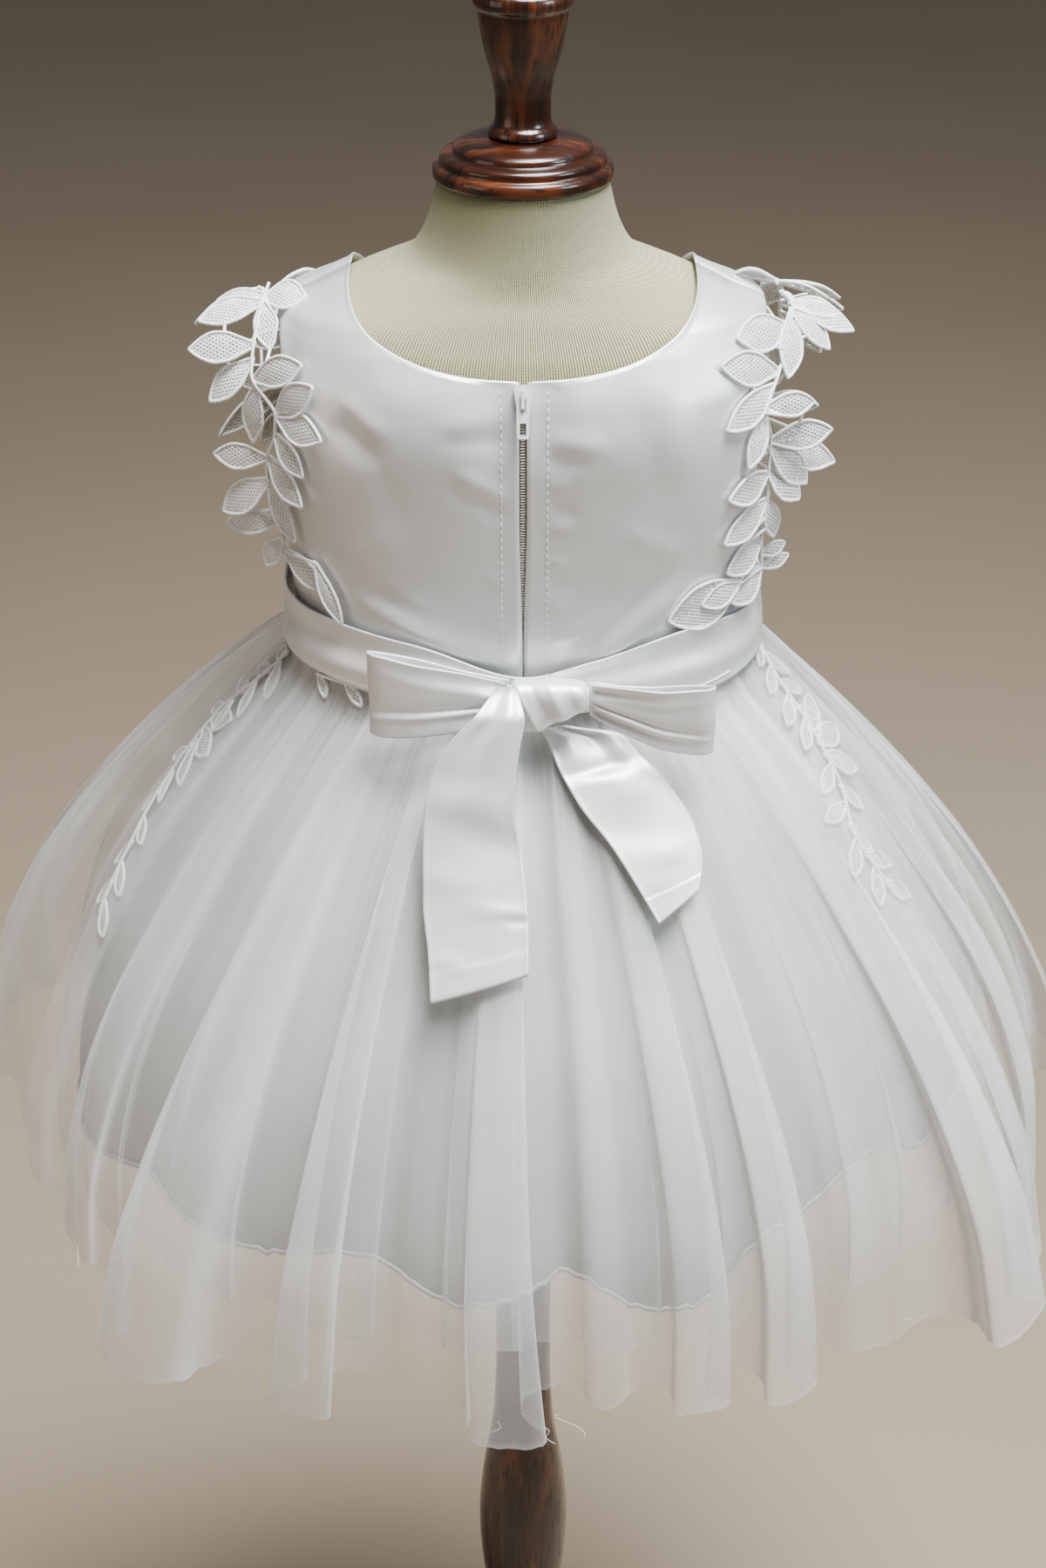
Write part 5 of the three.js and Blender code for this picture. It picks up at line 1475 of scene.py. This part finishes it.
knotRows = table("x depth low high", [
    (-5, 2.6, -9, 3.5),
    (-3.4, 5, -13.5, 5),
    (0, 6.8, -15, 5.8),
    (5, 7.5, -14.6, 6),
    (11, 7.4, -12, 6),
    (17, 6.8, -9, 5.6),
    (22.6, 5.6, -6.6, 4.6),
    (24.6, 3, -5, 2.6),
])
# Folds of the wrapped ribbon: where each crosses the top and the bottom, its width and height.
knotFolds = table("top bottom width height", [
    (-3, 7, 1.5, 0.9),
    (3, 12, 2.4, -0.8),
    (10, 17, 2, 0.6),
    (16, 21, 2.4, -0.6),
])
knotSet = {"y": -82, "sides": 96, "rings": 70, "from": -5, "to": 25, "squareness": 0.72}


def makeKnot():
    x = np.linspace(knotSet["from"], knotSet["to"], knotSet["rings"])[None, :]
    depth, low, high = (smoothCurve(knotRows, n, "x")(x) for n in ("depth", "low", "high"))
    angle = np.arange(knotSet["sides"])[:, None] * 2 * math.pi / knotSet["sides"]

    def squared(value):
        return np.sign(value) * np.abs(value) ** knotSet["squareness"]

    across, up = squared(np.cos(angle)), squared(np.sin(angle))
    lift = np.zeros(np.broadcast(x, angle).shape)
    for top, bottom, width, height in rowsOf(knotFolds):
        line = lerp(bottom, top, (up + 1) / 2)
        lift = lift + height * hump(x - line, width)
    lift = lift * smoothstep(x, knotSet["from"], -3) * smoothstep(-x, -knotSet["to"], -22)
    y = knotSet["y"] - (depth + lift) * across
    z = waist + lerp(low, high, (up + 1) / 2) + lift * up * 0.5
    points = np.stack(np.broadcast_arrays(x + 0 * angle, y, z), -1)
    middle = points.mean(axis=0, keepdims=True) + 0 * points
    # both ends close on their middles
    first = [middle[:, :1] + (points[:, :1] - middle[:, :1]) * share for share in (0, 0.5)]
    last = [middle[:, -1:] + (points[:, -1:] - middle[:, -1:]) * share for share in (0.5, 0)]
    whole = np.concatenate([*first, points, *last], axis=1)
    mesh = gridMesh("bowKnot", whole, uv=clothUv(np.concatenate([whole, whole[:1]])), closed=True)
    closeMesh(mesh)
    return settle(meshObject("bowKnot", mesh, [ribbonSatin]), "satin_white", "bow_knot")


leftTail = table("at leftX leftZ rightX rightZ", [
    (0, -35, -101, 2, -91),
    (1, -36, -86, 2, -78),
    (2, -38, -70, 1, -65),
    (3, -38, -54, -1, -51),
    (4, -37.5, -38, -3.5, -36),
    (5, -35, -26, -2.6, -24),
    (6, -29, -14, -1, -13),
    (7, -20, -4.5, 0.6, -4),
    (8, -10, 4, -2, 3),
    (8.4, -6, 6.4, -4, 5.6),
])
rightTail = table("at leftX leftZ rightX rightZ", [
    (0, 52, -78, 67, -70),
    (1, 43, -65, 69, -61),
    (2, 33, -52, 66, -50),
    (3, 22, -41, 57, -38),
    (4, 14, -30, 44, -26),
    (4.5, 10, -23, 37, -20.5),
    (5, 6, -17.2, 16, -16.6),
])
# A tail that starts in front of the knot hangs down a sloping line until it rests on the skirt;
# bow is how far the ribbon crowns across, and slant how its creases lean.
tailSet = {"lift": 3, "columns": 44, "rows": 130, "wall": 0.7, "hem": 0.62, "hemProud": 0.35,
           "side": 0.3, "sideWidth": 0.035, "knotFront": -94.5, "tuck": -86, "tuckFrom": (-4, 6),
           "bow": 2.4, "slope": 0.3, "softness": 4, "slant": 0.6}
# Creases of the tails: across the ribbon, along it, how wide, how long and how high.
leftTailCreases = table("u v wide long high", [
    (0.7, 6.6, 0.16, 1.3, 1.1),
    (0.35, 6.3, 0.14, 1.2, -1),
    (0.25, 4.9, 0.3, 0.6, -0.9),
    (0.6, 4.2, 0.4, 0.6, 1),
    (0.4, 3.5, 0.5, 0.5, -0.7),
    (0.8, 3.1, 0.3, 0.4, -0.8),
    (0.3, 2.4, 0.4, 0.35, 0.8),
    (0.75, 1.6, 0.3, 0.22, 0.9),
    (0.9, 1.35, 0.16, 0.12, -0.9),
    (0.2, 0.75, 0.2, 0.2, 0.7),
])
rightTailCreases = table("u v wide long high", [
    (0.25, 4.5, 0.14, 0.5, 1.5),
    (0.6, 4.55, 0.12, 0.45, -1.2),
    (0.85, 4.3, 0.12, 0.6, 1.2),
    (0.45, 3.85, 0.5, 0.18, -1.1),
    (0.5, 3.55, 0.5, 0.24, 0.9),
    (0.6, 3.2, 0.4, 0.4, 1.4),
    (0.25, 2.2, 0.3, 0.5, -0.9),
    (0.7, 1.4, 0.35, 0.4, 1),
    (0.4, 0.8, 0.3, 0.3, 0.6),
])


def crestPoint(x, z, lift):
    # the crests of the outer tulle, over which the ribbon lies
    layer = layers["outer"]
    flare = skirtSet["flareTop"]
    fall = np.clip((flare - z) / (flare - layer["hem"]), 0, 1)
    extra = layer["depth"] * fall ** 0.9 + lift
    y = np.full(np.broadcast(x, z).shape, -100.0)
    for _ in range(40):
        turn = np.degrees(np.arctan2(x, -y))
        y = -valleyRadius(turn, z, extra) * np.cos(np.radians(turn))
    return np.stack(np.broadcast_arrays(x, y, z + waist), -1)


def tailPoints(rows, creases, slant):
    last = rows["at"][-1]
    u = np.linspace(0, 1, tailSet["columns"])[:, None]
    v = np.linspace(0, last, tailSet["rows"])[None, :]
    edge = {n: smoothCurve(rows, n, "at")(v) for n in ("leftX", "leftZ", "rightX", "rightZ")}
    x = lerp(edge["leftX"], edge["rightX"], u)
    z = lerp(edge["leftZ"], edge["rightZ"], u)
    points = crestPoint(x, z, tailSet["lift"] + satinWall)
    if rows["leftZ"].max() > 0:
        # this tail hangs from the front of the knot and comes to rest lower down
        soft = tailSet["softness"]
        hanging = tailSet["knotFront"] + tailSet["slope"] * z
        resting = -soft * np.logaddexp(-points[..., 1] / soft, -hanging / soft)
        points[..., 1] = lerp(resting, tailSet["tuck"], smoothstep(z, *tailSet["tuckFrom"]))
    lift = np.zeros(x.shape)
    for atU, atV, wide, tall, high in rowsOf(creases):
        along = v - atV + slant * (u - atU)
        lift = lift + high * np.exp(-(((u - atU) / wide) ** 2) - (along / tall) ** 2)
    # the turned hem and the side edges stand a little proud
    hem = tailSet["hemProud"] * (1 - smoothstep(v, tailSet["hem"] - 0.05, tailSet["hem"]))
    hem = hem * smoothstep(v, 0, 0.06)
    sides = tailSet["side"] * hump(np.minimum(u, 1 - u), tailSet["sideWidth"])
    curve = tailSet["bow"] * (0.25 - (u - 0.5) ** 2) * smoothstep(v, 0.3, 2)
    return points + gridFacing(points) * (lift + hem + sides + curve)[..., None]


def makeBow():
    made = {}
    slanting = tailPoints(leftTail, leftTailCreases, tailSet["slant"])
    shapes = {
        "bowLoopLeft": (loopPoints(leftLoop, 0.4), "bow_loop_left", loopSet),
        "bowLoopRight": (loopPoints(rightLoop, 1.7), "bow_loop_right", loopSet),
        "bowTailLeft": (slanting, "bow_tail_left", tailSet),
        "bowTailRight": (tailPoints(rightTail, rightTailCreases, 0), "bow_tail_right", tailSet),
    }
    for name, (points, node, sizes) in shapes.items():
        piece = meshObject(name, gridMesh(name, points, uv=clothUv(points)), [ribbonSatin])
        made[name] = (thicken(settle(piece, "satin_white", node), sizes["wall"]), [points])
    return made


sash = makeSash()
bow = makeBow()
knot = makeKnot()
print("sash and bow ready")


# Leaf lace, with corded outlines and a thread-filled inside. The leaves round an armhole, at the
# back: root and tip, out from the middle, and width as a share of length. The front has the other
# side's leaves mirrored.
leftLeaves = table("x0 y0 z0 x1 y1 z1 width", [
    (98, -8, 133, 117, -2, 128, 0.3),
    (98, -12, 131, 123, -14, 124, 0.42),
    (101, -26, 119, 126, -24, 116, 0.42),
    (103, -28, 113, 119, -28, 97, 0.42),
    (95, -10, 134, 82, -14, 134, 0.72),
    (96, -14, 134, 95, -26, 117, 0.42),
    (101, -34, 108, 82, -43, 117, 0.42),
    (93, -38, 96, 78, -50, 111, 0.44),
    (92, -40, 95, 75, -56, 92, 0.42),
    (101, -32, 105, 103, -32, 82, 0.4),
    (94, -38, 88, 83, -50, 75, 0.36),
    (98, -32, 75, 119, -26, 75, 0.4),
    (97, -34, 76, 84, -50, 63, 0.34),
    (101, -30, 67, 117, -26, 51, 0.42),
    (93, -33, 50, 116, -25, 46, 0.36),
    (98, -33, 67, 88, -42, 45, 0.3),
    (93, -32, 44, 101, -30, 30, 0.5),
    (93, -33, 38, 76, -52, 29, 0.32),
    (80, -50, 40, 70, -57, 17, 0.22),
])
rightLeaves = table("x0 y0 z0 x1 y1 z1 width", [
    (82, 4, 134, 103, -4, 127, 0.36),
    (102, -8, 129, 121, -2, 123, 0.36),
    (104, -8, 127, 127, -4, 117, 0.36),
    (102, -12, 129, 117, -14, 113, 0.42),
    (101, -14, 128, 100, -30, 107, 0.38),
    (98, -18, 124, 79, -38, 125, 0.42),
    (97, -30, 110, 73, -48, 118, 0.38),
    (93, -34, 106, 76, -54, 95, 0.36),
    (91, -39, 99, 110, -33, 99, 0.42),
    (96, -33, 84, 118, -28, 86, 0.4),
    (98, -30, 81, 122, -14, 67, 0.28),
    (97, -32, 81, 110, -26, 63, 0.42),
    (90, -41, 95, 85, -49, 78, 0.34),
    (93, -36, 70, 78, -54, 67, 0.42),
    (94, -33, 71, 107, -30, 58, 0.5),
    (93, -34, 59, 77, -54, 49, 0.36),
    (95, -32, 60, 98, -30, 42, 0.4),
    (93, -31, 42, 79, -50, 35, 0.45),
    (94, -28, 34, 103, -24, 37, 0.45),
    (94, -25, 22, 105, -22, 31, 0.36),
    (94, -28, 24, 82, -47, 21, 0.45),
    (83, -45, 30, 69, -57, 25, 0.42),
    (71, -56, 21, 56, -63, 21, 0.5),
])
# The stems that join the leaves' roots, from the shoulder down to the sash.
leftStem = table("at x y z", [
    (0, 97, 0, 134),
    (1, 98, -11, 132),
    (2, 101, -24, 120),
    (3, 102, -31, 109),
    (4, 93, -39, 96),
    (5, 94, -38, 86),
    (6, 98, -32, 75),
    (7, 98, -33, 64),
    (8, 94, -33, 50),
    (9, 93, -34, 38),
    (10, 80, -50, 40),
])
rightStem = table("at x y z", [
    (0, 99, 0, 131),
    (1, 102, -11, 129),
    (2, 99, -22, 117),
    (3, 95, -33, 107),
    (4, 91, -39, 98),
    (5, 94, -34, 84),
    (6, 94, -34, 71),
    (7, 94, -34, 59),
    (8, 93, -31, 42),
    (9, 94, -28, 28),
    (10, 84, -45, 29),
])
# The leaves of a skirt garland: where each leaves the stem, on which side, how far it leans away
# from the stem in degrees, and its length.
vineLeaves = table("at side lean length", [
    (0.02, -1, 40, 13),
    (0.07, 1, 65, 15),
    (0.13, -1, 45, 14),
    (0.19, 1, 60, 15),
    (0.25, -1, 50, 15),
    (0.31, 1, 55, 14),
    (0.37, -1, 45, 14),
    (0.42, 1, 122, 22),
    (0.46, 1, 92, 23),
    (0.5, 1, 60, 22),
    (0.54, -1, 50, 15),
    (0.61, 1, 45, 14),
    (0.67, -1, 48, 15),
    (0.74, 1, 42, 14),
    (0.8, -1, 42, 15),
    (0.86, 1, 40, 15),
    (0.91, -1, 38, 15),
    (0.97, 1, 30, 15),
])
# The small sprigs on the gathers just under the sash.
waistVines = {
    "left": table("at turn z", [(0, -60, -9), (0.5, -50, -8), (1, -41, -9)]),
    "right": table("at turn z", [(0, 60, -8), (0.5, 50, -9), (1, 42, -9)]),
}
waistLeaves = table("at side lean length", [
    (0, -1, 60, 9),
    (0.2, 1, 40, 10),
    (0.45, -1, 50, 10),
    (0.7, 1, 40, 10),
    (0.95, -1, 45, 9),
])
leafShape = table("at half", [
    (0, 0.1),
    (0.2, 0.52),
    (0.44, 0.95),
    (0.6, 1),
    (0.8, 0.68),
    (0.93, 0.27),
    (1, 0.05),
])
# The lace's seats on the cloth, the thickness it stands for, its leaves' width, root and crown,
# its cords in millimetres, how long a bar may be, and how many points each line has.
laceSet = {"seat": 1.2, "vineSeat": 0.9, "waistSeat": 1.6, "wall": 1.3, "leafWidth": 0.4,
           "wider": 1.08, "longer": 1.15, "towards": 0.75, "upwards": 0.4, "dome": 0.5,
           "arch": 1.2, "root": 0.6, "cord": 0.66, "vineCord": 0.78, "bead": 0.62, "swell": 0.34,
           "sides": 6, "barFrom": 1.6, "barTo": 9, "barEnds": (6, 27), "along": 13, "across": 9,
           "rim": 17, "stem": 90, "vine": 40, "bar": 6}


def stemFrame(surface, path, at):
    turn, z = path(at)
    point = surface(turn, z)
    run = unit(surface(*path(min(at + 0.01, 1))) - surface(*path(max(at - 0.01, 0))))
    out = facing(surface, turn, z)
    return {"turn": turn, "z": z, "point": point, "run": run, "out": out,
            "across": unit(np.cross(out, run))}


def lyingPlace(surface, frame, side, lean):
    # a leaf on the surface: steps along and across it become turns and heights
    lean = math.radians(lean)
    way = frame["run"] * math.cos(lean) + frame["across"] * side * math.sin(lean)
    cross = np.cross(frame["out"], way)
    turnStep = surface(frame["turn"] + 0.5, frame["z"]) - surface(frame["turn"] - 0.5, frame["z"])
    riseStep = surface(frame["turn"], frame["z"] + 0.5) - surface(frame["turn"], frame["z"] - 0.5)

    def place(along, aside, up):
        move = np.multiply.outer(along, way) - np.multiply.outer(aside, cross)
        rise = move @ riseStep / (riseStep @ riseStep)
        turn = (move - rise[..., None] * riseStep) @ turnStep / (turnStep @ turnStep)
        return lifted(surface, up)(frame["turn"] + turn, frame["z"] + rise)

    return place


def leafBetween(root, tip):
    # a leaf from its root to its tip, which faces out of the body and never sinks into it
    turn, z = math.degrees(math.atan2(root[0], -root[1])), root[2]
    way = unit(tip - root)
    open = np.array([0, np.sign(root[1] + tip[1]), laceSet["upwards"]])
    out = facing(bodyAt, turn, z) + laceSet["towards"] * open
    out = unit(out - way * (out @ way))
    cross = np.cross(out, way)
    seat = satinWall + laceSet["seat"] + laceSet["wall"]

    def place(along, aside, up):
        up = np.asarray(up, float)
        share = along / np.linalg.norm(tip - root)
        point = root + np.multiply.outer(along, way) - np.multiply.outer(aside, cross)
        point = point + np.multiply.outer(up + laceSet["arch"] * np.sin(share * 3), out)
        reach = np.hypot(point[..., 0], point[..., 1])
        turns = turnAt(point[..., 0], point[..., 1])
        least = bodyRadius(turns, point[..., 2]) + seat + up
        push = np.maximum(least - reach, 0) / np.maximum(reach, 1)
        point = point + point * push[..., None] * np.array([1, 1, 0])
        return point + np.array([0, 0, waist])

    return place


def leafParts(place, length, share):
    # the filled sheet and the line of the cord round it
    half = smoothCurve(leafShape, "half", "at")
    at = np.linspace(0, 1, laceSet["along"])[None, :]
    across = np.linspace(-1, 1, laceSet["across"])[:, None]
    width = half(at) * length * share / 2
    along = lerp(-laceSet["root"], length, at) + 0 * across
    aside = across * width
    dome = laceSet["dome"] * (1 - across ** 2) * np.sin(at * math.pi) - laceSet["wall"] / 2
    sheet = place(along, aside, dome)
    uv = np.stack([aside + 40, along], -1)
    ends = np.linspace(0, 1, laceSet["rim"])
    rim = np.concatenate([ends, ends[::-1][1:-1]])
    side = np.concatenate([np.ones(len(ends)), -np.ones(len(ends) - 2)])
    rimWidth = half(rim) * length * share / 2 * side
    level = np.full(len(rim), -laceSet["wall"] / 2)
    return sheet, uv, place(lerp(-laceSet["root"], length, rim), rimWidth, level)


def makeLace(title, sheets, outlines, stems, node, filling, radius):
    parts = []
    for i, (points, uv) in enumerate(sheets):
        mesh = gridMesh(title + str(i), points, uv=uv)
        mesh.materials.append(filling)
        parts.append(mesh)
    cord = {"Bead": laceSet["bead"] * mm, "Radius": radius * mm, "Swell": laceSet["swell"],
            "Sides": laceSet["sides"], "Material": laceCord}
    parts.append(grow(title + ".rims", outlines, cordTree, cord, closed=True))
    parts.append(grow(title + ".stems", stems, cordTree, cord))
    piece = joinMeshes(title, parts)
    for mesh in parts:
        bpy.data.meshes.remove(mesh)
    return settle(piece, "lace_white", node)


def bridges(drawn):
    # short bars across the gaps between neighbouring leaves
    bars = []
    low, high = laceSet["barEnds"]
    for first, second in zip(drawn, drawn[1:]):
        ends = first[low:high], second[low:high]
        apart = np.linalg.norm(ends[0][:, None] - ends[1][None], axis=-1)
        i, j = np.unravel_index(apart.argmin(), apart.shape)
        if laceSet["barFrom"] < apart[i, j] < laceSet["barTo"]:
            bars.append(lerp(ends[0][i], ends[1][j], np.linspace(0, 1, laceSet["bar"])[:, None]))
    return bars


def armholeLace(hand):
    sheets, outlines, stems = [], [], []
    for face in (1, -1):
        mirror = np.array([hand, face, 1])
        mirrored = hand * face < 0
        leaves, stemRows = (leftLeaves, leftStem) if mirrored else (rightLeaves, rightStem)
        stations = np.linspace(0, stemRows["at"][-1], laceSet["stem"])
        line = np.stack([smoothCurve(stemRows, n, "at")(stations) for n in "xyz"], -1)
        stems.append(line * mirror + np.array([0, 0, waist]))
        drawn = []
        for x0, y0, z0, x1, y1, z1, width in rowsOf(leaves):
            # a leaf's root slides onto the stem
            root = line[np.linalg.norm(line - (x0, y0, z0), axis=1).argmin()] * mirror
            tip = np.array([x1, y1, z1]) * mirror
            place = leafBetween(root, tip)
            length, share = np.linalg.norm(tip - root), width * laceSet["wider"]
            sheet, uv, outline = leafParts(place, length, share)
            sheets.append((sheet[::-1], uv[::-1]) if mirrored else (sheet, uv))
            drawn.append(outline)
        outlines += drawn
        stems += bridges(drawn)
    name = "Left" if hand < 0 else "Right"
    title, node = "armholeLace" + name, "armhole_lace_" + name.lower()
    return makeLace(title, sheets, outlines, stems, node, laceNet, laceSet["cord"])


def innerSurface(turn, z):
    # the inner tulle's own place at a turn and height, without its small ripples
    layer = layers["inner"]
    turn, z = np.broadcast_arrays(np.asarray(turn, float), np.asarray(z, float))
    drop = layer["top"] - layer["hem"]
    share = (z - layer["hem"]) / drop
    for _ in range(3):
        share = share + (z - layerPoints(layer, turn, share)[1]) / drop
    return aroundAxis(layerPoints(layer, turn, share)[0], turn, z)


def sprig(surface, rows, leaves):
    # a stem along a path on a surface, with its leaves lying to either side
    turnCurve, zCurve = smoothCurve(rows, "turn", "at"), smoothCurve(rows, "z", "at")

    def path(at):
        return turnCurve(at), zCurve(at)

    sheets, outlines = [], []
    stems = [np.array([surface(*path(at)) for at in np.linspace(0, 1, laceSet["vine"])])]
    for at, side, lean, length in rowsOf(leaves):
        place = lyingPlace(surface, stemFrame(surface, path, at), side, lean)
        sheet, uv, outline = leafParts(place, length * laceSet["longer"], laceSet["leafWidth"])
        sheets.append((sheet, uv))
        outlines.append(outline)
    return sheets, outlines, stems


def outerValley(turn, z):
    return aroundAxis(valleyRadius(turn, z), turn, z)


def skirtLace(name, rows):
    under = lifted(innerSurface, laceSet["vineSeat"] + laceSet["wall"])
    above = lifted(outerValley, laceSet["waistSeat"])
    sprigs = [sprig(under, rows, vineLeaves), sprig(above, waistVines[name.lower()], waistLeaves)]
    sheets, outlines, stems = (sum(parts, []) for parts in zip(*sprigs))
    title, node = "skirtLace" + name, "skirt_lace_" + name.lower()
    return makeLace(title, sheets, outlines, stems, node, openNet, laceSet["vineCord"])


laces = {"Left": armholeLace(-1), "Right": armholeLace(1)}
vines = [skirtLace("Left", leftVine), skirtLace("Right", rightVine)]
print("lace ready")


# The zip and the sewing.
zipSet = {"top": 112, "foot": 12, "half": 6, "seat": 0.8, "wall": 0.4, "rows": 60,
          "columns": 17, "teethTop": 104, "teethSeat": 0.2, "pitch": 1.05,
          "tooth": (0.75, 1.1, 2.5), "bevel": 0.18, "cut": (0.012, 0.012, 0.105)}
# The seams beside the zip: how far out each runs, and the stitches' length, width and pitch.
stitchSet = {"seams": (-8, 9), "foot": 14, "top": 112, "proud": 0.12, "points": 60,
             "pitch": 3.1, "stitch": (2.1, 0.4, 0.4)}


def makeZip():
    z = np.linspace(zipSet["foot"], zipSet["top"], zipSet["rows"])[None, :]
    x = np.linspace(-zipSet["half"], zipSet["half"], zipSet["columns"])[:, None]
    turns = np.degrees(np.arctan(x / bodyRadius(0, z)))
    points = lifted(bodyAt, -zipSet["seat"])(turns, z)
    tape = meshObject("zipTape", gridMesh("zipTape", points, uv=clothUv(points)), [coilNylon])
    thicken(settle(tape, "zip_nylon", "zip_tape"), zipSet["wall"])
    line = np.linspace(zipSet["foot"] + 2, zipSet["teethTop"], 40)
    middle = lifted(bodyAt, -zipSet["teethSeat"])(line * 0, line)
    teeth = grow("zipCoil", [middle], repeatTree, {
        "Pitch": zipSet["pitch"] * mm, "Size": [v * mm for v in zipSet["tooth"]],
        "Material": coilNylon})
    coil = settle(meshObject("zipCoil", teeth, []), "zip_nylon")
    for name in ("zip_slider", "zip_pull"):
        node = frame["nodes"][name]
        for place in node.material_slots:
            place.material = enamel
        edge = node.modifiers.new("edge", "BEVEL")
        edge.width, edge.segments, edge.limit_method = zipSet["bevel"] * mm, 2, "ANGLE"
    return tape, points, coil


def makeStitches():
    runs = []
    z = np.linspace(stitchSet["foot"], stitchSet["top"], stitchSet["points"])
    for x in stitchSet["seams"]:
        turn = np.sign(x) * turnOfX(np.full(len(z), abs(x)), z)
        lift = creaseLift(x, z, backCreases)
        runs.append(lifted(bodyAt, satinWall + stitchSet["proud"] + lift)(turn, z))
    mesh = grow("zipStitches", runs, repeatTree, {
        "Pitch": stitchSet["pitch"] * mm, "Size": [v * mm for v in stitchSet["stitch"]],
        "Material": sewingThread})
    settle(meshObject("zipStitches", mesh, []), "satin_white")


tape, tapePoints, coil = makeZip()
makeStitches()
print("zip ready")


# Every sheet and the cut that it was sewn from: lower width, upper width and length in metres.
sheetCuts = {
    "bodiceBackLeft": (0.135, 0.08, 0.15), "bodiceBackRight": (0.135, 0.08, 0.15),
    "bodiceFront": (0.26, 0.16, 0.15),
    "sashFront": (0.275, 0.275, 0.026), "sashBackLeft": (0.15, 0.15, 0.023),
    "sashBackRight": (0.13, 0.13, 0.024),
    "bowLoopLeft": (0.11, 0.11, 0.028), "bowLoopRight": (0.1, 0.1, 0.024),
    "bowTailLeft": (0.037, 0.026, 0.125), "bowTailRight": (0.03, 0.022, 0.095),
}


def declareAll():
    for name, (piece, grids) in bodice.items():
        declareCloth(piece, grids, sheetCuts[name])
    for name, (piece, grids) in sash.items():
        declareCloth(piece, grids, sheetCuts[name])
    for name, (piece, grids) in bow.items():
        declareCloth(piece, grids, sheetCuts[name])
    for name, (piece, grids, cut) in skirt.items():
        declareCloth(piece, grids, cut)
    declareCloth(tape, [tapePoints], zipSet["cut"])


declareAll()
meshes = [piece.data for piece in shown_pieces() if piece.type == "MESH"]
triangles = sum(len(face.vertices) - 2 for mesh in meshes for face in mesh.polygons)
print("triangles before walls", triangles)
